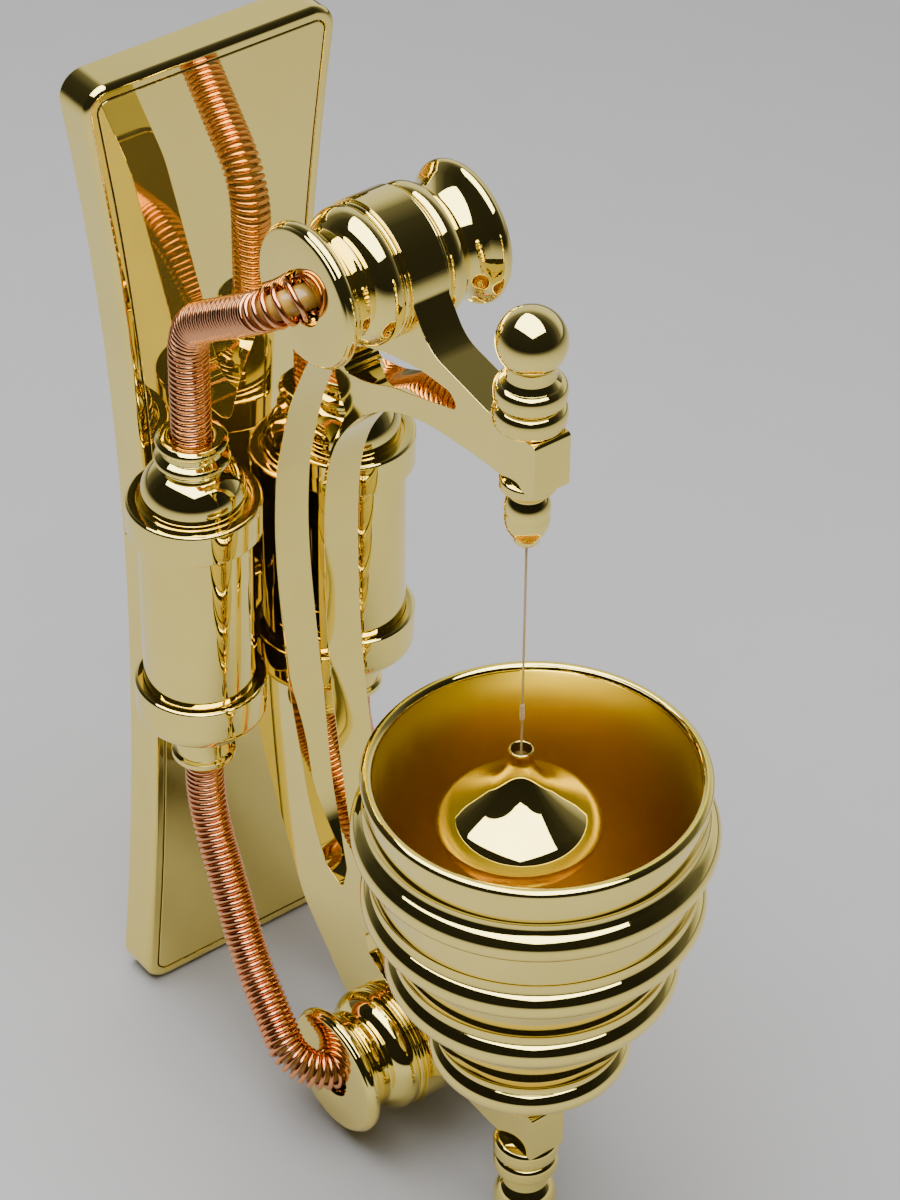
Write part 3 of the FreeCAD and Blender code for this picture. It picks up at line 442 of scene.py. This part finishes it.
def start_point(name, spot):
    """One point in edit mode, merged from a small plane that is added at the spot."""
    bpy.ops.object.select_all(action="DESELECT")
    bpy.ops.mesh.primitive_plane_add(size=0.0004, location=spot)
    piece = bpy.context.object
    piece.name = name
    piece.data.name = name
    bpy.ops.object.transform_apply(location=True, rotation=True, scale=True)
    bpy.ops.object.mode_set(mode="EDIT")
    bpy.ops.mesh.select_mode(type="VERT")
    bpy.ops.mesh.select_all(action="SELECT")
    bpy.ops.mesh.merge(type="CENTER")
    return piece


def finish_mesh(piece, angle=SMOOTH_ANGLE):
    """Close the seam, turn the faces outwards and shade the piece smooth up to an angle."""
    bpy.ops.mesh.select_all(action="SELECT")
    bpy.ops.mesh.remove_doubles(threshold=MERGE_DISTANCE)
    bpy.ops.mesh.normals_make_consistent(inside=False)
    bpy.ops.object.mode_set(mode="OBJECT")
    bpy.ops.object.shade_smooth_by_angle(angle=math.radians(angle))
    return piece


def turned(name, corners, spot, axis=(0.0, 0.0, 1.0), steps=None, edge=None):
    """A turned piece: its half section is drawn out of one point and spun about its axis."""
    edge = sizes().edge_break / MM if edge is None else edge
    along = Vector(axis)
    across = Vector((0.0, 0.0, 1.0)) if abs(along.x) > 0.5 else Vector((1.0, 0.0, 0.0))
    base = Vector(spot) * MM
    section = [base + (across * p.x + along * p.y) * MM for p in broken(outline(corners), edge)]
    piece = start_point(name, section[0])
    for here, there in zip(section, section[1:]):
        bpy.ops.mesh.extrude_vertices_move(TRANSFORM_OT_translate={"value": there - here})
    bpy.ops.mesh.select_all(action="SELECT")
    steps = steps or sizes().turn_steps
    bpy.ops.mesh.spin(steps=steps, angle=2.0 * math.pi, center=base, axis=along)
    return finish_mesh(piece)


def merged_copy(node, name, edge):
    """A copy of a solid: triangles joined, flat faces cleared and sharp edges broken."""
    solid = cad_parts[node]
    bpy.ops.object.select_all(action="DESELECT")
    piece = bpy.data.objects.new(name, solid.data.copy())
    bpy.context.scene.collection.objects.link(piece)
    piece.select_set(True)
    bpy.context.view_layer.objects.active = piece
    bpy.ops.object.mode_set(mode="EDIT")
    bpy.ops.mesh.select_mode(type="VERT")
    bpy.ops.mesh.select_all(action="SELECT")
    bpy.ops.mesh.remove_doubles(threshold=MERGE_DISTANCE)
    bpy.ops.mesh.dissolve_limited(angle_limit=math.radians(FLAT_ANGLE))
    bpy.ops.object.mode_set(mode="OBJECT")
    bevel = piece.modifiers.new("edge_break", "BEVEL")
    bevel.width = edge
    bevel.segments = 3
    bevel.limit_method = "ANGLE"
    bevel.angle_limit = math.radians(EDGE_ANGLE)
    bpy.ops.object.modifier_apply(modifier=bevel.name)
    bpy.ops.object.shade_smooth_by_angle(angle=math.radians(SMOOTH_ANGLE))
    level = piece.modifiers.new("flat_faces", "WEIGHTED_NORMAL")
    level.mode = "FACE_AREA"
    level.weight = 100
    level.keep_sharp = True
    bpy.ops.object.modifier_apply(modifier=level.name)
    return piece


def route_curve(name, points, radius, sides):
    """A smooth curve with the route's points as its control points."""
    data = bpy.data.curves.new(name, "CURVE")
    data.dimensions = "3D"
    data.resolution_u = 24
    data.bevel_depth = radius
    data.bevel_resolution = sides
    data.use_fill_caps = True
    spline = data.splines.new("NURBS")
    spline.points.add(len(points) - 1)
    for point, spot in zip(spline.points, points):
        point.co = (*(Vector(spot) * MM), 1.0)
    spline.order_u = 3
    spline.use_endpoint_u = True
    curve = bpy.data.objects.new(name, data)
    bpy.context.scene.collection.objects.link(curve)
    return curve


def bent_route(corners, radii):
    """Points along straight runs that are joined by tangent arcs."""
    corners = [Vector(corner) * MM for corner in corners]
    points = [corners[0]]
    for before, here, after, radius in zip(corners, corners[1:], corners[2:], radii):
        back = (before - here).normalized()
        ahead = (after - here).normalized()
        turn = math.pi - back.angle(ahead)
        cut = radius * MM * math.tan(turn * 0.5)
        centre = here + (back + ahead).normalized() * math.hypot(radius * MM, cut)
        start = here + back * cut - centre
        axis = start.cross(here + ahead * cut - centre)
        points += [centre + Matrix.Rotation(turn * k / 32.0, 3, axis) @ start for k in range(33)]
    return points + [corners[-1]]


def even_points(points, step):
    """The line through the points at even steps."""
    result = [points[0].copy()]
    left = step
    for here, there in zip(points, points[1:]):
        run = (there - here).length
        done = 0.0
        while run - done >= left:
            done += left
            result.append(here.lerp(there, done / run))
            left = step
        left -= run - done
    result.append(points[-1].copy())
    return result


def as_mesh(curve):
    """The curve's own tube as a mesh piece."""
    bpy.ops.object.select_all(action="DESELECT")
    curve.select_set(True)
    bpy.context.view_layer.objects.active = curve
    bpy.ops.object.convert(target="MESH")
    bpy.ops.object.mode_set(mode="EDIT")
    return finish_mesh(bpy.context.object, WIRE_SMOOTH_ANGLE)


def wound_points(points, coil, wire, loose):
    """The wire's centre line wound on a line of even points: close on a straight run, opened a
    little on a bend, and loose over a last length."""
    step = (points[1] - points[0]).length
    ways = [(b - a).normalized() for a, b in zip(points, points[1:])]
    ways.append(ways[-1])
    bends = []
    for i in range(len(points)):
        low = max(0, i - 3)
        high = min(len(points) - 1, i + 3)
        bends.append(ways[low].angle(ways[high], 0.0) / max(step, step * (high - low)))
    result = []
    side = Vector((1.0, 0.0, 0.0)) if abs(ways[0].x) < 0.5 else Vector((0.0, 0.0, 1.0))
    angle = WIND_START
    for k, (point, way, bend) in enumerate(zip(points, ways, bends)):
        side = (side - way * side.dot(way)).normalized()
        other = way.cross(side)
        slack = max(0.0, 1.0 - step * (len(points) - 1 - k) / loose) if loose else 0.0
        spread_out = coil * (1.0 + LOOSE_WIDE * min(1.0, 2.0 * slack))
        result.append(point + (side * math.cos(angle) + other * math.sin(angle)) * spread_out)
        opened = max(0.5, 1.0 - WIND_BEND * bend * coil)
        pitch = wire * WIND_PITCH * (1.0 + LOOSE_OPEN * slack) / opened
        angle += 2.0 * math.pi * step / pitch
    return result


def wire_piece(name, points, radius, sides=2):
    """A round wire along points, as a mesh."""
    data = bpy.data.curves.new(name, "CURVE")
    data.dimensions = "3D"
    data.bevel_depth = radius
    data.bevel_resolution = sides
    data.use_fill_caps = True
    spline = data.splines.new("POLY")
    spline.points.add(len(points) - 1)
    for point, spot in zip(spline.points, points):
        point.co = (*spot, 1.0)
    curve = bpy.data.objects.new(name, data)
    bpy.context.scene.collection.objects.link(curve)
    return as_mesh(curve)


class FIXTURE_OT_plate(bpy.types.Operator):
    """Dress the waisted plate and its mirror panel"""

    bl_idname = "fixture.plate"
    bl_label = "Plate"

    def execute(self, context):
        plate = merged_copy("backplate", "waisted_plate", sizes().plate_break)
        dress(plate, plate_brass(), "polished_brass", "fixture", "backplate")
        panel = merged_copy("front_panel", "mirror_panel", sizes().plate_break * 0.5)
        dress(panel, mirror_brass(), "mirror_brass", "fixture", "front_panel")
        for node in ("arm_screw_upper", "arm_screw_lower"):
            paint(node, steel())
        return {"FINISHED"}


class FIXTURE_OT_arm(bpy.types.Operator):
    """Dress the C-shaped arm"""

    bl_idname = "fixture.arm"
    bl_label = "Arm"

    def execute(self, context):
        arm = merged_copy("arm", "c_arm", sizes().plate_break)
        dress(arm, plate_brass(), "polished_brass", "fixture", "arm")
        return {"FINISHED"}


class FIXTURE_OT_spools(bpy.types.Operator):
    """Turn the two spools that sit on the arm's eyes"""

    bl_idname = "fixture.spools"
    bl_label = "Spools"

    def execute(self, context):
        half = SPOOL_END - ARM_HALF
        section = [
            (5.05, 0.0), (12.9, 0.0), (12.9, 0.9, 0.4), (12.3, 1.2), (12.9, 1.4), (13.0, 3.8, 0.2),
            (10.4, 6.8, 0.183), (10.3, 7.0), (12.75, half - 3.5, -0.2), (13.5, half - 2.7),
            (13.4, half - 0.6, 0.45), (12.7, half, 0.3), (5.25, half), (5.25, half - SPOOL_SOCKET),
            (5.05, half - SPOOL_SOCKET), (5.05, 0.0)]
        for level, (y, z) in EYES.items():
            for side, sign in SIDES:
                name = "%s_spool_%s" % (level, side)
                piece = turned("turned_" + name, section, (ARM_HALF * sign, y, z), (sign, 0.0, 0.0))
                dress(piece, cross_turned_brass(), "polished_brass", "fixture", name)
            paint(level + "_axle", cross_turned_brass())
        return {"FINISHED"}


class FIXTURE_OT_cylinders(bpy.types.Operator):
    """Turn the two cylinders with their caps and glands"""

    bl_idname = "fixture.cylinders"
    bl_label = "Cylinders"

    def execute(self, context):
        low = 93.0
        top = 137.5
        dome = top + 4.6
        neck = 155.6
        spout = 75.4
        sections = {
            "barrel": [(10.0, low), (11.4, low), (11.4, top), (10.0, top), (10.0, low)],
            "top_cap": [
                (11.45, top - 4.0), (12.9, top - 4.0), (13.4, top - 3.5, 0.4), (13.4, top + 2.7),
                (12.8, top + 3.3, 0.4), (11.2, top + 3.3), (10.8, top + 2.6), (10.4, top + 2.6),
                (10.4, dome), (6.3, dome + 6.6, 0.3), (6.3, dome + 7.6), (4.6, dome + 7.6),
                (4.6, top + 1.5), (10.0, top), (11.45, top), (11.45, top - 4.0)],
            "top_gland": [
                (2.65, dome + 7.6), (7.0, dome + 7.6), (7.0, dome + 9.4, 0.5), (6.0, dome + 10.0),
                (6.0, neck - 2.0), (6.75, neck - 1.8), (6.75, neck - 0.4, 0.5), (6.3, neck),
                (4.2, neck), (4.2, neck - 2.0), (2.65, neck - 2.0), (2.65, dome + 7.6)],
            "bottom_cap": [
                (11.45, low), (11.45, low + 3.3), (12.4, low + 3.3), (13.2, low + 2.9, -0.3),
                (13.2, low - 3.6), (10.1, low - 7.2, -0.35), (6.6, low - 9.0), (6.0, low - 10.6),
                (4.6, low - 10.6), (4.6, low - 2.0), (10.0, low), (11.45, low)],
            "spout_gland": [
                (2.65, spout + 2.0), (4.2, spout + 2.0), (4.2, spout), (5.9, spout),
                (6.5, spout + 0.5, 0.4), (6.5, spout + 1.5), (5.7, spout + 1.9), (5.7, low - 11.4),
                (6.2, low - 10.9, 0.4), (6.0, low - 10.6), (2.65, low - 10.6), (2.65, spout + 2.0)],
        }
        for side, sign in SIDES:
            for part, section in sections.items():
                name = "%s_%s" % (part, side)
                piece = turned("turned_" + name, section, (sign * CYLINDER_X, CYLINDER_Y, 0.0))
                dress(piece, turned_brass(), "polished_brass", "fixture", name)
            paint("saddle_" + side, plate_brass())
        return {"FINISHED"}


class FIXTURE_OT_finials(bpy.types.Operator):
    """Turn the valve knob, the nozzle and the ball foot"""

    bl_idname = "fixture.finials"
    bl_label = "Finials"

    def execute(self, context):
        ball = 6.44
        neck = 4.6
        dip = math.sqrt(ball * ball - neck * neck)
        lower = math.tan(math.acos(neck / ball) / 4.0)
        quarter = math.tan(math.pi / 8.0)
        collar = [
            (2.05, 0.0), (5.6, 0.0), (6.65, 1.6, 0.4), (6.65, 3.4, 0.1), (5.4, COLLAR_HEIGHT, 0.3),
            (2.05, COLLAR_HEIGHT), (2.05, 0.0)]
        piece = turned("turned_valve_collar", collar, (0.0, NOZZLE_Y, BLOCK_TOP))
        dress(piece, turned_brass(), "polished_brass", "fixture", "valve_collar")
        centre = 12.55
        knob = [
            (0.0, -13.0), (2.0, -13.0), (2.0, 0.0), (5.4, 0.0), (6.55, 1.5, 0.4), (6.55, 3.2, 0.1),
            (5.4, 4.4, 0.3), (neck, 5.6), (neck, centre - dip), (ball, centre, lower),
            (0.0, centre + ball, quarter)]
        seat = BLOCK_TOP + COLLAR_HEIGHT + 0.15
        piece = turned("turned_valve_knob", knob, (0.0, NOZZLE_Y, seat))
        dress(piece, turned_brass(), "polished_brass", "knob", "valve_knob")
        tip = -14.8
        nozzle = [
            (1.1, tip), (2.0, tip), (2.4, tip + 0.5, 0.3), (2.4, tip + 1.2), (4.1, tip + 6.8, 0.24),
            (3.4, -4.3, 0.22), (3.5, -3.7, -0.4), (5.0, -2.2, -0.25), (5.2, -1.8, 0.3), (5.2, -0.5),
            (4.8, 0.0, 0.3), (1.1, 0.0), (1.1, tip)]
        piece = turned("turned_nozzle", nozzle, (0.0, NOZZLE_Y, BLOCK_TOP - BLOCK_HEIGHT))
        dress(piece, turned_brass(), "polished_brass", "fixture", "nozzle")
        under = [(r, -z, *[-b for b in rest]) for r, z, *rest in collar]
        piece = turned("turned_foot_collar", under, (0.0, CUP_Y, BLOCK_LOW))
        dress(piece, turned_brass(), "polished_brass", "fixture", "foot_collar")
        top = BLOCK_LOW - COLLAR_HEIGHT
        foot = [
            (0.0, top + 11.4), (2.0, top + 11.4), (2.0, top), (5.4, top), (6.55, top - 1.5, -0.4),
            (6.55, top - 3.2, -0.1), (5.4, top - 4.2, -0.3), (neck, top - 5.0), (neck, ball + dip),
            (ball, ball, -lower), (0.0, 0.0, -quarter)]
        piece = turned("turned_ball_foot", foot, (0.0, CUP_Y, 0.0))
        dress(piece, turned_brass(), "polished_brass", "fixture", "ball_foot")
        return {"FINISHED"}


class FIXTURE_OT_cup(bpy.types.Operator):
    """Turn the beaded cup and the seat under it"""

    bl_idname = "fixture.cup"
    bl_label = "Cup"

    def execute(self, context):
        lip = 120.0
        one, two, three, four = lip - 13.6, lip - 30.0, lip - 47.4, lip - 69.4
        foot = 46.6
        cup = [
            (2.05, foot + 3.0), (11.0, foot + 3.0), (15.8, four + 3.0, 0.2), (23.6, three, 0.06),
            (28.4, two, 0.05), (30.6, one, 0.05), (30.6, lip - 1.2), (33.0, lip - 1.2, -0.96),
            (32.6, lip - 3.2), (32.4, one + 5.8), (33.2, one + 2.9, 0.4), (33.1, one - 2.9, -0.61),
            (32.7, one - 3.1), (32.3, one - 3.5), (31.3, two + 5.8), (31.3, two + 2.9, 0.2),
            (31.2, two - 2.9, -0.61), (30.6, two - 3.1), (29.9, two - 3.5), (27.2, three + 5.8),
            (26.95, three + 2.9, 0.25), (26.7, three - 2.9, -0.61), (26.1, three - 3.1),
            (25.4, three - 3.5), (19.2, four + 5.8), (18.4, four + 2.9, 0.25),
            (18.1, four - 2.7, -0.61), (17.3, four - 3.0), (15.8, foot), (2.05, foot),
            (2.05, foot + 3.0)]
        piece = turned("beaded_cup", cup, (0.0, CUP_Y, 0.0), steps=224)
        dress(piece, turned_brass(), "polished_brass", "fixture", "cup")
        # The lining, with its painted shade low in the cup, goes on the inner faces.
        piece.data.materials.append(lining_brass())
        axis = Vector((0.0, CUP_Y * MM, 0.0))
        for face in piece.data.polygons:
            inward = axis - face.center
            inward.z = 0.0
            wall = face.normal.dot(inward) > 0.0 and face.center.z < (lip - 1.3) * MM
            level = face.normal.z > 0.99
            if wall or level:
                face.material_index = 1
        base = BLOCK_LOW + BLOCK_HEIGHT
        seat = foot - base
        section = [
            (2.05, 0.0), (6.4, 0.0), (6.6, 1.4, 0.3), (5.0, 2.6), (4.6, seat - 3.2, -0.1),
            (9.0, seat - 0.8), (9.0, seat), (2.05, seat), (2.05, 0.0)]
        piece = turned("turned_cup_seat", section, (0.0, CUP_Y, base))
        dress(piece, turned_brass(), "polished_brass", "fixture", "cup_seat")
        paint("cup_stud", turned_brass())
        return {"FINISHED"}


class FIXTURE_OT_bob(bpy.types.Operator):
    """Hang the bob on its line"""

    bl_idname = "fixture.bob"
    bl_label = "Line and Bob"

    def execute(self, context):
        section = [
            (0.0, -BOB_HOLE), (1.0, -BOB_HOLE), (1.9, -2.2), (1.95, -0.2), (2.15, 0.0, -0.4),
            (2.35, -0.3, -0.4), (2.15, -2.2), (6.0, -9.2, 0.16), (12.8, -13.9, 0.06),
            (16.1, -17.6, -0.16), (13.1, -23.4, -0.2), (6.5, -27.2, -0.12), (1.5, -28.3, -0.05),
            (0.0, -28.3)]
        bob = turned("turned_bob", section, (0.0, NOZZLE_Y, BOB_TOP), steps=144, edge=0.12)
        dress(bob, turned_brass(), "polished_brass", "pendulum", "bob")
        bob.data.materials.append(shaded_bore_brass())
        # The faces inside the top of the hole get the darkened brass: painted shade in the bore.
        bore = Vector((0.0, NOZZLE_Y * MM))
        for face in bob.data.polygons:
            inside = (face.center.xy - bore).length < 1.93 * MM
            if inside and face.center.z > (BOB_TOP - 5.0) * MM:
                face.material_index = 1
        top = LINE_TOP
        low = BOB_TOP - BOB_HOLE
        route = [(0.0, NOZZLE_Y, top), (0.0, NOZZLE_Y, 0.5 * (top + low)), (0.0, NOZZLE_Y, low)]
        line = route_curve("hanging_line", route, sizes().line_radius, 2)
        dress(line, nylon(), "nylon_line", "pendulum", "line")
        knot = []
        turns, steps = 8.0, 120
        for k in range(steps + 1):
            share = k / steps
            turn = 2.0 * math.pi * turns * share
            swell = 0.28 + 0.08 * math.sin(math.pi * share)
            height = BOB_TOP + 6.9 + 3.8 * share
            spot = Vector((swell * math.cos(turn), NOZZLE_Y + swell * math.sin(turn), height))
            knot.append(spot * MM)
        wraps = wire_piece("line_wraps", knot, 0.16 * MM)
        dress(wraps, nylon(), "nylon_line", "pendulum", "line_knot")
        paint("line_stop", nylon())
        return {"FINISHED"}


class FIXTURE_OT_hoses(bpy.types.Operator):
    """Run the four hoses and wind their copper sheaths"""

    bl_idname = "fixture.hoses"
    bl_label = "Hoses"

    def execute(self, context):
        in_gland = {"upper": 4.7 * MM, "lower": 5.8 * MM}
        loose = {"upper": 9.0 * MM, "lower": 0.0}
        core_step = 0.5 * MM
        wind_step = 0.06 * MM
        in_spool = 12
        for side, sign in SIDES:
            x = sign * CYLINDER_X
            deep = sign * (SPOOL_END - SPOOL_SOCKET)
            y, z = EYES["upper"]
            upper = [
                (x, CYLINDER_Y, 149.7), (x, CYLINDER_Y, 181.2), (sign * 24.2, y, z), (deep, y, z)]
            y, z = EYES["lower"]
            lower = [
                (x, CYLINDER_Y, 82.4), (x, CYLINDER_Y, 61.4),
                (sign * 22.0, CYLINDER_Y - 20.0, 34.4), (sign * 25.6, y, z), (deep, y, z)]
            routes = {
                "upper": bent_route(upper, (15.0, 7.6)),
                "lower": bent_route(lower, (26.0, 40.0, 9.0))}
            for level, route in routes.items():
                name = "%s_%s" % (level, side)
                core = even_points(route, core_step)
                hose = wire_piece("amber_hose_" + name, core, sizes().hose_radius, 5)
                dress(hose, hose_rubber(), "amber_hose", "fixture", "%s_hose_%s" % (level, side))
                first = int(in_gland[level] / wind_step)
                points = even_points(route, wind_step)[first:-in_spool]
                wound = wound_points(
                    points, sizes().coil_radius, sizes().wire_radius, loose[level])
                coil = wire_piece("copper_sheath_" + name, wound, sizes().wire_radius)
                dress(coil, copper(), "copper_wire", "fixture", "%s_coil_%s" % (level, side))
        return {"FINISHED"}


def pale_floor():
    """A wide plain floor just under the fixture."""
    bpy.ops.object.select_all(action="DESELECT")
    bpy.ops.mesh.primitive_grid_add(
        x_subdivisions=4, y_subdivisions=4, size=FLOOR_SIZE, location=(0.0, 0.0, -FLOOR_DROP))
    floor = bpy.context.object
    floor.name = "pale_floor"
    bpy.ops.object.transform_apply(location=True, rotation=True, scale=True)
    material = bpy.data.materials.new("pale_paper")
    tree, shader, place = node_group(material)
    fibre = noise(tree, place, 40.0, 4.0)
    colour = tuple(finish().floor)
    ramp = tint(tree, fibre, tuple(c * 0.985 for c in colour), colour)
    tree.links.new(ramp.outputs["Color"], shader.inputs["Base Color"])
    shader.inputs["Roughness"].default_value = 0.8
    floor.data.materials.append(material)


def dim_room(scene):
    """A dim room that turns pale towards one wall."""
    world = bpy.data.worlds.new("dim_room")
    scene.world = world
    world.use_nodes = True
    tree = world.node_tree
    tree.nodes.clear()
    place = tree.nodes.new("ShaderNodeTexCoord")
    away = tree.nodes.new("ShaderNodeVectorMath")
    away.operation = "DOT_PRODUCT"
    away.inputs[1].default_value = PALE_WALL
    share = tree.nodes.new("ShaderNodeMapRange")
    share.inputs["From Min"].default_value = -1.0
    ramp = tree.nodes.new("ShaderNodeValToRGB")
    stops = ramp.color_ramp.elements
    stops.remove(stops[1])
    position, grey, blue = ROOM_TONES[0]
    stops[0].position = position
    stops[0].color = (grey, grey, blue, 1.0)
    for position, grey, blue in ROOM_TONES[1:]:
        stops.new(position).color = (grey, grey, blue, 1.0)
    ground = tree.nodes.new("ShaderNodeBackground")
    output = tree.nodes.new("ShaderNodeOutputWorld")
    tree.links.new(place.outputs["Generated"], away.inputs[0])
    tree.links.new(away.outputs["Value"], share.inputs["Value"])
    tree.links.new(share.outputs["Result"], ramp.inputs["Fac"])
    tree.links.new(ramp.outputs["Color"], ground.inputs["Color"])
    tree.links.new(ground.outputs["Background"], output.inputs["Surface"])


def overhead_softbox(scene):
    """One large soft light above the fixture."""
    light = bpy.data.lights.new("overhead_softbox", "AREA")
    light.shape = "RECTANGLE"
    light.size, light.size_y = SOFTBOX_SIZE
    light.energy = SOFTBOX_POWER
    lamp = bpy.data.objects.new("overhead_softbox", light)
    lamp.location = SOFTBOX_SPOT
    lamp.rotation_euler = (0.0, 0.0, math.radians(SOFTBOX_TURN))
    scene.collection.objects.link(lamp)


def photo_camera(scene):
    """The camera at the photograph's place and angle."""
    turn, tilt, roll = (math.radians(angle) for angle in CAMERA_ANGLES)
    flat = math.cos(tilt)
    back = Vector((math.sin(turn) * flat, -math.cos(turn) * flat, math.sin(tilt)))
    level = Vector((math.cos(turn), math.sin(turn), 0.0))
    upright = back.cross(level)
    right = level * math.cos(roll) + upright * math.sin(roll)
    up = upright * math.cos(roll) - level * math.sin(roll)
    lens = bpy.data.cameras.new("photo_camera")
    lens.sensor_fit = "VERTICAL"
    lens.sensor_width, lens.sensor_height = CAMERA_FRAME
    lens.lens = CAMERA_LENS
    lens.clip_start = 0.01
    camera = bpy.data.objects.new("photo_camera", lens)
    axes = Matrix((right, up, back)).transposed().to_4x4()
    camera.matrix_world = Matrix.Translation(Vector(CAMERA_SPOT) * MM) @ axes
    scene.collection.objects.link(camera)
    scene.camera = camera


class FIXTURE_OT_stage(bpy.types.Operator):
    """Set up the pale floor, the soft light, the dim room and the camera"""

    bl_idname = "fixture.stage"
    bl_label = "Stage"

    def execute(self, context):
        pale_floor()
        dim_room(context.scene)
        overhead_softbox(context.scene)
        photo_camera(context.scene)
        return {"FINISHED"}


OPERATORS = (
    FIXTURE_OT_stage, FIXTURE_OT_bob, FIXTURE_OT_hoses, FIXTURE_OT_plate, FIXTURE_OT_arm,
    FIXTURE_OT_spools, FIXTURE_OT_cylinders, FIXTURE_OT_finials, FIXTURE_OT_cup)


class FIXTURE_PT_panel(bpy.types.Panel):
    """Sidebar panel with the fixture's sizes, finishes and pieces"""

    bl_idname = "FIXTURE_PT_panel"
    bl_label = "Drip Fixture"
    bl_space_type = "VIEW_3D"
    bl_region_type = "UI"
    bl_category = "Drip Fixture"

    def draw(self, context):
        layout = self.layout
        for group in (context.scene.fixture_sizes, context.scene.fixture_finish):
            for name in group.__annotations__:
                layout.prop(group, name)
        for operator in OPERATORS:
            layout.operator(operator.bl_idname)


CLASSES = (FixtureSizes, FixtureFinish) + OPERATORS + (FIXTURE_PT_panel,)


def register():
    for each in CLASSES:
        bpy.utils.register_class(each)
    bpy.types.Scene.fixture_sizes = bpy.props.PointerProperty(type=FixtureSizes)
    bpy.types.Scene.fixture_finish = bpy.props.PointerProperty(type=FixtureFinish)


def unregister():
    del bpy.types.Scene.fixture_finish
    del bpy.types.Scene.fixture_sizes
    for each in reversed(CLASSES):
        bpy.utils.unregister_class(each)


def main():
    register()
    bpy.ops.fixture.stage()
    bpy.ops.fixture.bob()
    bpy.ops.fixture.hoses()
    bpy.ops.fixture.plate()
    bpy.ops.fixture.arm()
    bpy.ops.fixture.spools()
    bpy.ops.fixture.cylinders()
    bpy.ops.fixture.finials()
    bpy.ops.fixture.cup()


if __name__ == "__main__":
    main()
